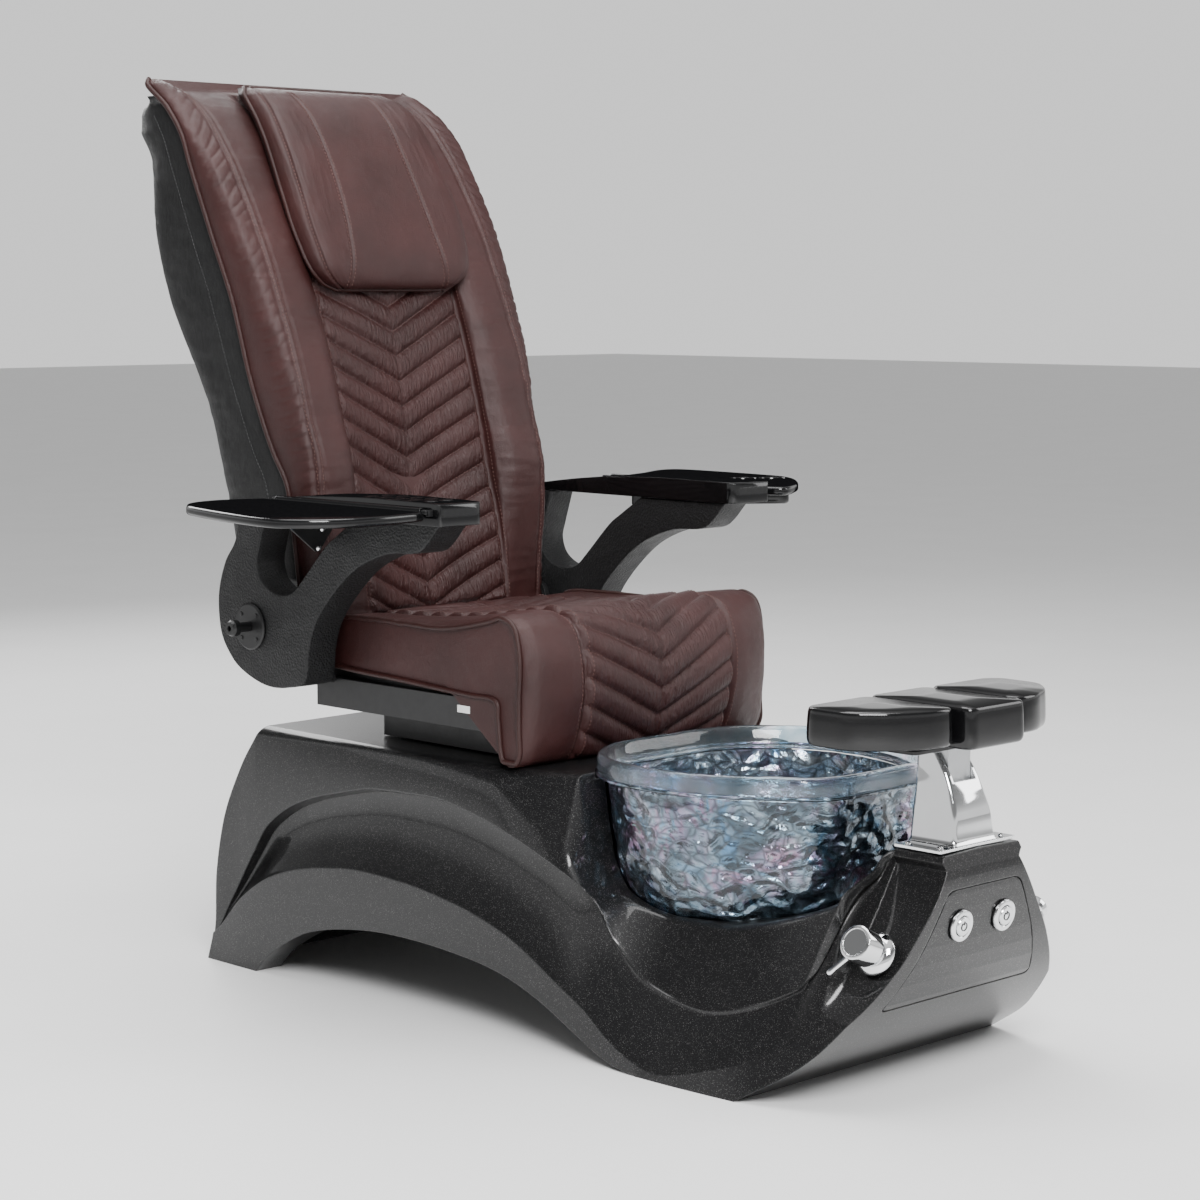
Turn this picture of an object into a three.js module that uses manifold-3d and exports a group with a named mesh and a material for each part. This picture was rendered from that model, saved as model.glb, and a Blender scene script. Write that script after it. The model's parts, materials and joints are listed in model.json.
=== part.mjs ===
// Pedicure spa chair: a moulded base with a glass foot bowl and footrest, and a sliding,
// reclining massage seat with lift-up arms and fold-up manicure trays.
// Millimetres, +Z up. The sitter faces -Y. The origin is on the floor at the middle of the footprint.
import * as THREE from 'three';
import { mergeVertices } from 'three/addons/utils/BufferGeometryUtils.js';
import Module from 'manifold-3d';

const wasm = await Module();
wasm.setup();

// ---------------------------------------------------------------- driving dimensions
const GAP = 0.4; // clearance between pieces that touch

const BASE_BOTTOM_HALF = 297; // half-width of the skirt at the floor
const DECK_Z = 402; // top of the rear deck that carries the seat
const REAR_HOLLOW_HALF = 244;
const PLATE_Z = 341; // top of the front pedestal
const PLATE_HALF = 83;
const PANEL_THICK = 5;
const PANEL_TOP = { z: 292, half: 78 };
const PANEL_LOW = { z: 132, half: 166 };

const BOWL_Y = -404; // middle of the bowl
const BOWL_FLOOR = 199; // inside floor of the bowl
const BOWL_UNDER = 187;
const DRAIN_R = 22;
const JET = { y: -211, z: 300, r: 24, tilt: THREE.MathUtils.degToRad(7.5) };

const BUTTON_X = 47.5;
const BUTTON_Z = 241;
const BUTTON_Y = -799;
const BUTTON_TILT = THREE.MathUtils.degToRad(8);
const LEVER_ANGLE = THREE.MathUtils.degToRad(139);
const VALVE = { x: -167, y: -752, z: 212, tilt: THREE.MathUtils.degToRad(28) };

const STAND_FRONT = -790;
const STAND_REAR = -712;
const POST_HALF = 24;
const PAD_TOP = 546;
const PAD_UNDER = 487;

const SEAT_HALF = 262;
const RAIL_LOW = 450;
const RAIL_TOP = 497;
const SEAT_UNDER = { y: -92, z: 499, rise: 0.0522 }; // sloping underside of the cushion
const RAIL_FRONT = -87;
const RAIL_REAR = 328;

const RECLINE = { y: 395, z: 520, r: 8 };
const ARM_PIVOT = { y: 400, z: 575 };
const ARM_IN = 278.5;
const ARM_OUT = 336;
const CAP_IN = 271;
const CAP_OUT = 357;
const CAP_UNDER = 762.4;
const TRAY_HINGE = { x: 364.5, z: 784, r: 6.5 };
const TRAY_UNDER = 771;
const TRAY_TOP = 785;
const TRAY_FRONT = -58;
const TRAY_REAR = 302;
const WELL_R = 21;

// ---------------------------------------------------------------- materials
const finish = (color, roughness, metalness = 0, extra = {}) =>
  new THREE.MeshStandardMaterial({ color, roughness, metalness, ...extra });
const gelcoat = () => finish(0x1b1b1d, 0.15);
const glossBlack = () => finish(0x0c0c0d, 0.12);
const gritBlack = () => finish(0x232323, 0.85);
const steelBlack = () => finish(0x17171a, 0.45, 0.6);
const chrome = () => finish(0xd5d8dc, 0.08, 1);
const steel = () => finish(0x9a9da2, 0.35, 1);
const leather = () => finish(0x5a3c3a, 0.5);
const blackLeather = () => finish(0x1c1c1e, 0.6);
const glass = () => finish(0x8fb0c8, 0.1, 0.2, { transparent: true, opacity: 0.6 });
const whitePlastic = () => finish(0xe8e8e6, 0.4);
const rubber = () => finish(0x202020, 0.9);

// ---------------------------------------------------------------- geometry helpers
const chair = new THREE.Group();

function add(name, geometry, material) {
  const mesh = new THREE.Mesh(geometry, material);
  mesh.name = name;
  chair.add(mesh);
  return mesh;
}

/** Smooth function through [t, value] pairs that never overshoots them. */
function curve(pairs) {
  const n = pairs.length;
  const slopes = pairs.slice(1).map(([t, v], i) => (v - pairs[i][1]) / (t - pairs[i][0]));
  const tangents = pairs.map((pair, i) => {
    if (i === 0) return slopes[0];
    if (i === n - 1) return slopes[n - 2];
    if (slopes[i - 1] * slopes[i] <= 0) return 0;
    return (2 * slopes[i - 1] * slopes[i]) / (slopes[i - 1] + slopes[i]);
  });
  return (t) => {
    if (t <= pairs[0][0]) return pairs[0][1];
    if (t >= pairs[n - 1][0]) return pairs[n - 1][1];
    const i = pairs.findIndex((pair) => pair[0] > t) - 1;
    const span = pairs[i + 1][0] - pairs[i][0];
    const s = (t - pairs[i][0]) / span;
    const rise = pairs[i + 1][1] - pairs[i][1];
    const blend = s * s * (3 - 2 * s);
    const bend = s * (1 - s) * ((1 - s) * tangents[i] - s * tangents[i + 1]) * span;
    return pairs[i][1] + rise * blend + bend;
  };
}

/** Outline with each corner rounded; a corner is [u, v] or [u, v, its own radius]. */
function rounded(corners, radius, steps = 3) {
  const points = corners.map(([u, v]) => new THREE.Vector2(u, v));
  return corners.flatMap((corner, i) => {
    const here = points[i];
    const back = points.at(i - 1).clone().sub(here);
    const ahead = points[(i + 1) % points.length].clone().sub(here);
    const reach = Math.min(corner[2] ?? radius, back.length() / 2.05, ahead.length() / 2.05);
    if (reach <= 0) return [here];
    const start = here.clone().add(back.setLength(reach));
    const end = here.clone().add(ahead.setLength(reach));
    return new THREE.QuadraticBezierCurve(start, here, end).getPoints(steps);
  });
}

/** Open smooth line through the given [u, v] points. */
const through = (points, steps) =>
  new THREE.SplineCurve(points.map(([u, v]) => new THREE.Vector2(u, v))).getPoints(steps);

const TO_AXIS = {
  x: new THREE.Matrix4().set(0, 0, 1, 0, 1, 0, 0, 0, 0, 1, 0, 0, 0, 0, 0, 1),
  y: new THREE.Matrix4().set(1, 0, 0, 0, 0, 0, -1, 0, 0, 1, 0, 0, 0, 0, 0, 1),
  z: new THREE.Matrix4(),
};

/** Extruded outline. Along x the outline is (y, z), along y it is (x, z), along z it is (x, y). */
function prism(outline, axis, from, to, bevel = 0) {
  const shape = new THREE.Shape(outline.map((p) => (p.isVector2 ? p : new THREE.Vector2(...p))));
  const geometry = new THREE.ExtrudeGeometry(shape, {
    depth: to - from - 2 * bevel,
    bevelEnabled: bevel > 0,
    bevelThickness: bevel,
    bevelSize: bevel,
    bevelOffset: -bevel,
    bevelSegments: 1,
  });
  const start = axis === 'y' ? -to : from;
  return geometry.translate(0, 0, start + bevel).applyMatrix4(TO_AXIS[axis]);
}

function block(x0, x1, y0, y1, z0, z1) {
  const geometry = new THREE.BoxGeometry(x1 - x0, y1 - y0, z1 - z0);
  return geometry.translate((x0 + x1) / 2, (y0 + y1) / 2, (z0 + z1) / 2);
}

/** Turned piece: profile of [radius, height] along the axis, starting at the given point. */
function turned(profile, axis, [x, y, z], segments = 24) {
  const closed = profile[0][0] > 0 ? [...profile, profile[0]] : profile;
  const geometry = new THREE.LatheGeometry(closed.map(([r, h]) => new THREE.Vector2(r, h)), segments);
  geometry.rotateX(Math.PI / 2);
  if (axis === 'x') geometry.rotateY(Math.PI / 2);
  if (axis === 'y') geometry.rotateX(-Math.PI / 2);
  return geometry.translate(x, y, z);
}

const rod = (radius, length, axis, at, segments = 24) =>
  turned([[0, 0], [radius, 0], [radius, length], [0, length]], axis, at, segments);

/** Closed skin through loops of [x, y, z] with equal counts, capped at both ends. */
function loft(loops, flat) {
  const n = loops[0].length;
  const index = [];
  loops.slice(1).forEach((loop, i) => {
    for (let j = 0; j < n; j += 1) {
      const a = i * n + j;
      const b = i * n + ((j + 1) % n);
      index.push(a, b, b + n, a, b + n, a + n);
    }
  });
  const cap = (loop, offset, sign) => {
    const contour = loop.map((p) => new THREE.Vector2(p[flat[0]], p[flat[1]]));
    const area = Math.sign(THREE.ShapeUtils.area(contour));
    THREE.ShapeUtils.triangulateShape(contour, []).forEach(([a, b, c]) => {
      const turn = Math.sign(THREE.ShapeUtils.area([contour[a], contour[b], contour[c]]));
      const order = turn * area * sign > 0 ? [a, b, c] : [a, c, b];
      index.push(...order.map((k) => k + offset));
    });
  };
  cap(loops[0], 0, -1);
  cap(loops.at(-1), n * (loops.length - 1), 1);
  const geometry = new THREE.BufferGeometry();
  geometry.setAttribute('position', new THREE.Float32BufferAttribute(loops.flat(2), 3));
  geometry.setIndex(index);
  return signedVolume(geometry) < 0 ? turnInsideOut(geometry) : geometry;
}

function signedVolume(geometry) {
  const corner = (k) => new THREE.Vector3().fromBufferAttribute(geometry.attributes.position, k);
  const { array } = geometry.index;
  let sum = 0;
  for (let k = 0; k < array.length; k += 3) {
    sum += corner(array[k]).dot(corner(array[k + 1]).cross(corner(array[k + 2])));
  }
  return sum;
}

function turnInsideOut(geometry) {
  const { array } = geometry.index;
  for (let k = 0; k < array.length; k += 3) {
    [array[k + 1], array[k + 2]] = [array[k + 2], array[k + 1]];
  }
  return geometry;
}

/** Tiers of one outline at rising heights, each drawn in towards its middle by a share. */
function tiers(outline, levels, [cx, cy]) {
  return loft(levels.map(([z, share]) => outline.map((p) => [
    cx + (p.x - cx) * share,
    cy + (p.y - cy) * share,
    z,
  ])), [0, 1]);
}

function toSolid(geometry) {
  const bare = geometry.clone();
  bare.deleteAttribute('normal');
  bare.deleteAttribute('uv');
  const merged = mergeVertices(bare, 1e-3);
  return new wasm.Manifold(new wasm.Mesh({
    numProp: 3,
    vertProperties: new Float32Array(merged.attributes.position.array),
    triVerts: new Uint32Array(merged.index.array),
  }));
}

function fromSolid(solid) {
  const mesh = solid.getMesh();
  const geometry = new THREE.BufferGeometry();
  geometry.setAttribute('position', new THREE.Float32BufferAttribute(mesh.vertProperties, 3));
  geometry.setIndex(Array.from(mesh.triVerts));
  return geometry;
}

const cut = (geometry, ...tools) =>
  fromSolid(tools.reduce((solid, tool) => solid.subtract(toSolid(tool)), toSolid(geometry)));
const join = (geometry, ...others) =>
  fromSolid(others.reduce((solid, other) => solid.add(toSolid(other)), toSolid(geometry)));
const common = (geometry, other) => fromSolid(toSolid(geometry).intersect(toSolid(other)));

/** The same piece on the sitter's other side. */
function mirrored(geometry) {
  const copy = geometry.index ? geometry.clone() : mergeVertices(geometry);
  return turnInsideOut(copy.applyMatrix4(new THREE.Matrix4().makeScale(-1, 1, 1)));
}

const SIDES = [['left', (geometry) => geometry], ['right', mirrored]];

// ---------------------------------------------------------------- base
// Each curve gives a height or a half-width along Y, from the nose at -827 to the rear foot.
const edgeZ = curve([[-712, 339], [-705, 270], [-697, 200], [-650, 155], [-597, 128], [-508, 107],
  [-450, 113], [-398, 128], [-340, 175], [-280, 250], [-219, 307], [-155, 350], [-96, 386],
  [104, 400], [444, 392], [620, 380]]);
const edgeX = curve([[-712, 84], [-705, 130], [-697, 178], [-650, 215], [-597, 235], [-508, 250],
  [-340, 252], [-280, 262], [-155, 276], [0, 281], [620, 281]]);
const topZ = curve([[-712, PLATE_Z], [-700, 334], [-680, 292], [-640, 256], [-555, 226], [-480, 213],
  [-414, 213], [-313, 231], [-285, 250], [-258, 290], [-247, 360], [-238, DECK_Z], [620, DECK_Z]]);
const topX = curve([[-712, PLATE_HALF - 1], [-680, 110], [-625, 150], [-555, 183], [-480, 192],
  [-300, 206], [-258, 216], [-238, 232], [0, 264], [620, 270]]);
const lipZ = curve([[-712, 330], [-650, 152], [-508, 104], [-398, 125], [-340, 170], [-295, 238],
  [-239, 269], [-154, 304], [-66, 328], [24, 341], [151, 337], [249, 319], [350, 290], [428, 244],
  [469, 190], [530, 100], [567, 46], [620, 20]]);
const lipX = curve([[-712, 88], [-697, 182], [-650, 217], [-508, 252], [-340, 256], [-280, 270],
  [-155, 284], [0, 287], [500, 287], [567, 290]]);
const skirtZ = curve([[-712, 122], [-650, 75], [-546, 32], [-450, 10], [-405, 20], [-359, 42],
  [-312, 75], [-264, 100], [-181, 144], [-125, 166], [-34, 188], [89, 203], [184, 206], [286, 196],
  [352, 183], [422, 159], [495, 115], [553, 58], [620, 12]]);
const skirtX = curve([[-712, 226], [-650, 255], [-546, 284], [-450, 293]]);
const bottomX = curve([[-712, 276], [-650, 285], [-546, 293], [-450, BASE_BOTTOM_HALF]]);
const coveDepth = curve([[-712, 14], [-600, 4], [-400, 2], [-300, 10], [-200, 22], [0, 27], [350, 27],
  [480, 18], [545, 3]]);
const COVE = [[0.03, 1], [0.38, 1.15], [0.76, 0.6]];

function baseSection(y) {
  const half = [
    [0, topZ(y) + 2],
    [topX(y), topZ(y)],
    [edgeX(y), edgeZ(y)],
    [lipX(y), lipZ(y)],
    ...COVE.map(([t, share]) => [
      THREE.MathUtils.lerp(lipX(y), skirtX(y), t) - coveDepth(y) * share,
      THREE.MathUtils.lerp(lipZ(y), skirtZ(y), t),
    ]),
    [skirtX(y), skirtZ(y)],
    [bottomX(y), -6],
    [0, -6],
  ];
  const other = half.slice(1, -1).reverse().map(([x, z]) => [-x, z]);
  return [...half, ...other].map(([x, z]) => [x, y, z]);
}

const STATIONS = [-840, -712, -706, -697, -680, -655, -622, -585, -548, -508, -465, -425, -385, -345,
  -310, -280, -258, -247, -238, -200, -150, -96, -30, 60, 150, 250, 340, 410, 460, 505, 545, 575, 620];

const NOSE = through([[-600, 0], [-690, 58], [-755, 130], [-787, 192], [-800, 250], [-804, 300],
  [-796, 352]], 14);
const ARCH = through([[-349, 0], [-312, 24], [-215, 74], [-124, 101], [-3, 114], [123, 116],
  [220, 107], [300, 91], [354, 70], [417, 33], [452, 0]], 20);
const REAR_EDGE = through([[582, 0], [569, 60], [567, 149], [546, 246], [503, 331], [462, 388],
  [430, 440]], 10);

/** Everything inside the moulding's side view. */
const sideView = () => prism([...NOSE.toReversed(), ...ARCH, ...REAR_EDGE, [-796, 440]], 'x', -330, 330);

const BOWL_RIM = rounded([[240, -290, 90], [240, -455, 90], [122, -629, 50], [-122, -629, 50],
  [-240, -455, 90], [-240, -290, 90], [-140, -180, 80], [140, -180, 80]], 60, 3);
const BOWL_OUTSIDE = [[BOWL_UNDER, 0.55], [190, 0.66], [207, 0.77], [240, 0.845], [280, 0.89],
  [340, 0.925], [394, 0.945]];

const panelOutline = (grow) => rounded([
  [PANEL_LOW.half + grow, PANEL_LOW.z - grow],
  [PANEL_TOP.half + grow, PANEL_TOP.z + grow],
  [-PANEL_TOP.half - grow, PANEL_TOP.z + grow],
  [-PANEL_LOW.half - grow, PANEL_LOW.z - grow],
], 14);

/** Layer of the nose between two depths below its outer face. */
function noseLayer(outer, inner) {
  const shift = (depth) => NOSE.slice(3).map((p) => [p.x + depth, p.y + depth * 0.2]);
  return prism([...shift(outer), ...shift(inner).reverse()], 'x', -200, 200);
}

const valveAxis = new THREE.Vector3(-Math.cos(VALVE.tilt), 0, Math.sin(VALVE.tilt));

/** Moves a piece built along z onto a valve's sloping axis; side 1 is the sitter's right. */
function placeOnValve(geometry, side) {
  const axis = new THREE.Vector3(valveAxis.x * side, 0, valveAxis.z);
  geometry.applyQuaternion(new THREE.Quaternion().setFromUnitVectors(new THREE.Vector3(0, 0, 1), axis));
  return geometry.translate(VALVE.x * side, VALVE.y, VALVE.z);
}
const onValveAxis = (profile, side = 1) => placeOnValve(turned(profile, 'z', [0, 0, 0], 20), side);

/** Moves a piece built along z onto the whirlpool jet's axis, on the rear wall of the bowl. */
const placeJet = (geometry) =>
  geometry.rotateX(Math.PI / 2 - JET.tilt).translate(0, JET.y, JET.z);
const onJetAxis = (profile) => placeJet(turned(profile, 'z', [0, 0, 0], 24));

function baseShell() {
  const body = common(loft(STATIONS.map(baseSection), [0, 2]), sideView());
  const pocket = tiers(BOWL_RIM, [[BOWL_UNDER - 2, 0.56], [189, 0.675], [206, 0.785], [239, 0.857],
    [279, 0.902], [339, 0.937], [393, 0.957], [394, 1.014], [440, 1.014]], [0, BOWL_Y]);
  const hollow = prism([[-336, -20], [-330, 60], [-285, 120], [-212, 165], [-160, 240], [-145, 384],
    [425, 384], [468, 350], [528, 240], [548, 100], [550, -20]], 'x', -REAR_HOLLOW_HALF, REAR_HOLLOW_HALF);
  const bay = common(
    prism([[-780, 312], [-777, 250], [-764, 200], [-733, 143], [-672, 75], [-575, 15], [-575, -20],
      [-365, -20], [-365, 150], [-560, 150], [-640, 190], [-640, 312]], 'x', -240, 240),
    prism([[95, 330], [-95, 330], [-165, 190], [-190, 150], [-219, 90], [-225, -20], [225, -20],
      [219, 90], [190, 150], [165, 190]], 'y', -820, -300),
  );
  const panelSeat = common(prism(panelOutline(0.8), 'y', -840, -700), noseLayer(-10, PANEL_THICK + GAP));
  const panelHole = prism(panelOutline(-10), 'y', -840, -740);
  const drain = rod(DRAIN_R + 3, 80, 'z', [0, BOWL_Y, 130]);
  const jetHole = onJetAxis([[0, -90], [JET.r + 1, -90], [JET.r + 1, 5], [0, 5]]);
  const valveHoles = [1, -1].map((side) => onValveAxis([[0, -60], [17, -60], [17, 30], [0, 30]], side));
  return cut(body, pocket, hollow, bay, panelSeat, panelHole, drain, jetHole, ...valveHoles);
}

function accessPanel() {
  const plate = common(prism(panelOutline(0), 'y', -840, -700), noseLayer(0, PANEL_THICK));
  return cut(plate, ...[-1, 1].map((side) => rod(18.6, 60, 'y', [side * BUTTON_X, -830, BUTTON_Z])));
}

add('base_shell', baseShell(), gelcoat());
add('front_access_panel', accessPanel(), gelcoat());

// ---------------------------------------------------------------- bowl and plumbing
function glassBowl() {
  const inside = [[398, 0.975], [404, 1], [420, 1], [429, 0.985], [430, 0.95], [422, 0.925],
    [398, 0.903], [340, 0.885], [280, 0.85], [240, 0.80], [215, 0.715], [203, 0.61], [BOWL_FLOOR, 0.5]];
  const bowl = tiers(BOWL_RIM, [...BOWL_OUTSIDE, ...inside], [0, BOWL_Y]);
  return cut(
    bowl,
    rod(DRAIN_R + 1, 60, 'z', [0, BOWL_Y, 170]),
    onJetAxis([[0, -40], [JET.r + 1, -40], [JET.r + 1, 40], [0, 40]]),
  );
}

add('glass_bowl', glassBowl(), glass());
add('drain_body', turned([[15, BOWL_FLOOR - 60], [DRAIN_R, BOWL_FLOOR - 60], [DRAIN_R, BOWL_FLOOR + GAP],
  [36, BOWL_FLOOR + GAP], [34, BOWL_FLOOR + 4], [18, BOWL_FLOOR + 4], [15, BOWL_FLOOR]],
'z', [0, BOWL_Y, 0], 20), chrome());
add('drain_stopper', turned([[0, BOWL_FLOOR - 40], [4, BOWL_FLOOR - 40], [4, BOWL_FLOOR + 4.6],
  [20, BOWL_FLOOR + 4.6], [18, BOWL_FLOOR + 9], [0, BOWL_FLOOR + 11]], 'z', [0, BOWL_Y, 0], 20), chrome());

function jetImpeller() {
  const hub = turned([[0, -9], [6, -9], [6, 1], [0, 2]], 'z', [0, 0, 0], 14);
  const blades = [0, 1, 2, 3, 4].map((k) =>
    block(-1.5, 1.5, 4, 17, -8, -1).rotateZ((k * Math.PI * 2) / 5));
  return placeJet(join(hub, ...blades));
}

function jetCover() {
  const grille = turned([[20, -12], [JET.r, -12], [JET.r, 3], [31, 3], [30, 7], [0, 11], [0, 6], [20, 4]],
    'z', [0, 0, 0], 24);
  const slots = [0, 1, 2, 3, 4, 5].map((k) =>
    block(-2.5, 2.5, 7, 17, 0, 20).rotateZ((k * Math.PI) / 3));
  return placeJet(cut(grille, ...slots));
}

add('jet_impeller', jetImpeller(), whitePlastic());
add('jet_cover', jetCover(), chrome());
add('jet_motor', onJetAxis([[0, -140], [26, -140], [28, -136], [28, -74], [JET.r, -72], [JET.r, -14],
  [0, -14]]), steelBlack());

// ---------------------------------------------------------------- buttons and valves
/** Turned piece on a front button's axis; heights grow outwards from the panel's face. */
function onButtonAxis(profile, side) {
  const geometry = turned(profile, 'z', [0, 0, 0], 20);
  geometry.rotateX(Math.PI / 2 + BUTTON_TILT);
  return geometry.translate(side * BUTTON_X, BUTTON_Y, BUTTON_Z);
}

const bezel = (side) => onButtonAxis([[14.5, -26], [17.5, -26], [17.5, 1.6], [23, 1.6], [22, 6], [14.5, 6]],
  side);
[['left', 1], ['right', -1]].forEach(([name, side]) => {
  add(`button_bezel_${name}`, bezel(side), chrome());
  const profile = [[0, -20], [13.8, -20], [13.8, 6.5], [12.5, 8], [0, 8]];
  add(`button_${name}`, onButtonAxis(profile, side), chrome());
});

add('valve_escutcheon', onValveAxis([[10, 2.5], [31, 2.5], [30, 8], [24, 13], [15, 15], [10, 15]]), chrome());
add('valve_body', onValveAxis([[0, -55], [15, -55], [15, 1], [8, 1], [8, 22], [0, 22]]), steel());

function valveHandle() {
  const knob = onValveAxis([[8.6, 16], [16, 16], [25, 22], [25, 52], [23, 54], [0, 54], [0, 23], [8.6, 23]]);
  const lever = turned([[0, 20], [4.5, 20], [4.5, 60], [3, 62], [0, 62]], 'x', [0, 0, 0], 12);
  lever.rotateZ(LEVER_ANGLE).translate(0, 0, 36);
  return join(knob, placeOnValve(lever, 1));
}

add('valve_handle', valveHandle(), chrome());
add('sprayer_escutcheon', onValveAxis([[12, 2.5], [27, 2.5], [25, 9], [12, 11]], -1), chrome());
add('sprayer_knob', onValveAxis([[0, -40], [11.5, -40], [11.5, 12], [18, 14], [18, 26], [15, 29], [0, 29]],
  -1), chrome());

// ---------------------------------------------------------------- footrest
function footrestPlate() {
  const plate = prism(rounded([[PLATE_HALF, -792], [PLATE_HALF, -709], [-PLATE_HALF, -709],
    [-PLATE_HALF, -792]], 3), 'z', PLATE_Z + 2.4, PLATE_Z + 6.4);
  const heads = [[-68, -722], [-68, -779], [68, -722], [68, -779]].map(([x, y]) =>
    turned([[0, -1], [4.5, -1], [4.5, 1.5], [3, 3], [0, 3.4]], 'z', [x, y, PLATE_Z + 6.4], 14));
  return join(plate, ...heads);
}
add('footrest_plate', footrestPlate(), chrome());

function footrestStand() {
  const levels = [[PLATE_Z + 6.8, 50, STAND_FRONT, STAND_REAR], [390, 43, -785, STAND_REAR],
    [425, 37, -776, STAND_REAR], [450, 33.5, -764, -710], [472, 31, -746, -704]];
  const outside = loft(levels.map(([z, half, front, rear]) => [
    [-half, front, z], [half, front, z], [half, rear, z], [-half, rear, z],
  ]), [0, 1]);
  const bore = block(-POST_HALF - GAP, POST_HALF + GAP, -757 - GAP, -722 + GAP, 352, 500);
  const window = block(-POST_HALF - GAP, POST_HALF + GAP, -800, -740, 432, 500);
  return cut(outside, bore, window);
}

add('footrest_stand', footrestStand(), chrome());
add('footrest_post', block(-POST_HALF, POST_HALF, -757, -722, 362, PAD_UNDER - 6), steel());
add('footrest_hub', prism(rounded([[-120, -775], [120, -775], [120, -690], [-120, -690]], 12), 'z',
  PAD_UNDER - 6 + GAP, PAD_UNDER - GAP), steelBlack());

const padTiers = (low) => [[low, 0.97], [low + 6, 1], [PAD_TOP - 12, 0.97], [PAD_TOP - 4, 0.93],
  [PAD_TOP, 0.86]];
add('footrest_pad_center', tiers(rounded([[-63, -827], [63, -827], [63, -640], [-63, -640]], 14),
  padTiers(PAD_UNDER), [0, -733]), glossBlack());

const wing = () => tiers(rounded([[67, -806], [112, -806], [172, -778], [212, -735], [214, -664],
  [196, -646], [67, -644]], 16), padTiers(PAD_UNDER + 6), [138, -726]);
SIDES.forEach(([name, place]) => add(`footrest_pad_${name}`, place(wing()), glossBlack()));

// ---------------------------------------------------------------- seat post, slide and seat
add('riser_box', prism(rounded([[-200, -34], [200, -34], [200, 241], [-200, 241]], 6), 'z',
  DECK_Z + 2.6, 440), steelBlack());
const railBar = (side) => block(side * 160 - 10, side * 160 + 10, -30, 236, 440 + GAP, 452);
const railTie = (y) => block(-155, 155, y, y + 20, 440 + GAP, 445);
add('slide_track', join(railBar(-1), railBar(1), railTie(60), railTie(200)), steel());
add('slide_actuator', join(block(-30, 30, -30, 30, 440 + GAP, 480), rod(9, 190, 'y', [0, 25, 462], 16)),
  steelBlack());
const underside = (y) => SEAT_UNDER.z + SEAT_UNDER.rise * (y - SEAT_UNDER.y);

const PAN_REAR = 322;
function seatPan() {
  const low = underside(-80) - 13;
  const slab = (front, rear) =>
    [[front, low], [rear, low], [rear, underside(rear) - GAP], [front, underside(front) - GAP]];
  const ear = (side) => prism(slab(280, PAN_REAR), 'x', side * 194 - 50, side * 194 + 50);
  const web = [[-80, 452 + GAP], [285, 452 + GAP], [285, underside(285) - 8], [-80, underside(-80) - 8]];
  const runner = (side) => prism(web, 'x', side * 160 - 13, side * 160 + 13);
  return join(prism(slab(-80, 285), 'x', 18 - SEAT_HALF, SEAT_HALF - 18), runner(-1), runner(1), ear(-1),
    ear(1));
}
add('seat_pan', seatPan(), steelBlack());

const seatRail = () => cut(
  block(SEAT_HALF - 17.5, SEAT_HALF, RAIL_FRONT, RAIL_REAR, RAIL_LOW, RAIL_TOP),
  block(SEAT_HALF - 20, SEAT_HALF - 4, RAIL_FRONT - 5, RAIL_REAR + 5, RAIL_LOW + 4, RAIL_TOP - 4),
  ...[[-70, 472], [-60, 462], [-50, 472]].map(([y, z]) => rod(2.2, 20, 'x', [SEAT_HALF - 10, y, z], 10)),
);
SIDES.forEach(([name, place]) => add(`seat_rail_${name}`, place(seatRail()), steelBlack()));
add('rail_label', block(-SEAT_HALF - 1.2, -SEAT_HALF - 0.3, -36, -8, 474, 485), whitePlastic());

const SEAT_SIDE = rounded([[-152, 404], [-170, 440], [-178, 520], [-176, 590], [-140, 620, 30],
  [-20, 606], [140, 599], [298, 597], [310, 574], [299, 545], [288, underside(288), 6],
  [SEAT_UNDER.y, SEAT_UNDER.z, 3], [-100, 468], [-106, 420], [-122, 404]], 16, 2);

function seatCushion() {
  const ends = [[-SEAT_HALF, 0.96], [10 - SEAT_HALF, 1], [SEAT_HALF - 10, 1], [SEAT_HALF, 0.96]];
  return loft(ends.map(([x, share]) => SEAT_SIDE.map((p) => [x, 60 + (p.x - 60) * share,
    552 + (p.y - 552) * share])), [1, 2]);
}
add('seat_cushion', seatCushion(), leather());

// ---------------------------------------------------------------- back
const seamY = curve([[600, 326], [652, 336], [727, 352], [800, 375], [875, 393], [951, 414], [1028, 438],
  [1102, 466], [1200, 506], [1300, 552], [1380, 602], [1430, 660], [1450, 700]]);
const centreY = curve([[600, 352], [700, 380], [785, 403], [868, 414], [955, 427], [1080, 456],
  [1200, 504], [1300, 550], [1380, 600], [1430, 658], [1450, 700]]);
const bolsterY = curve([[600, 330], [807, 334], [844, 341], [900, 362], [972, 383], [1085, 430],
  [1190, 480], [1290, 540], [1370, 600], [1425, 660], [1455, 716]]);
const borderY = curve([[600, 378], [700, 384], [789, 394], [850, 428], [898, 450], [967, 472], [1085, 502],
  [1207, 552], [1310, 597], [1354, 615], [1402, 660], [1440, 722], [1455, 740]]);
const rearY = curve([[640, 590], [768, 612], [891, 640], [977, 672], [1084, 730], [1215, 756],
  [1316, 760], [1367, 790], [1396, 792], [1425, 780]]);
const backHalf = curve([[600, 250], [789, 262], [898, 268], [967, 275], [1085, 284], [1207, 292],
  [1354, 296], [1440, 285], [1455, 270]]);
const REAR_CROWN = 35;
const BACK_FOOT_REAR = 372;
const BACK_FOOT = 577;
const BACK_HEIGHTS = [BACK_FOOT, 602, 640, 700, 760, 810, 850, 900, 960, 1020, 1085, 1150, 1210, 1270, 1325,
  1370, 1402, 1425, 1450];

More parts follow.
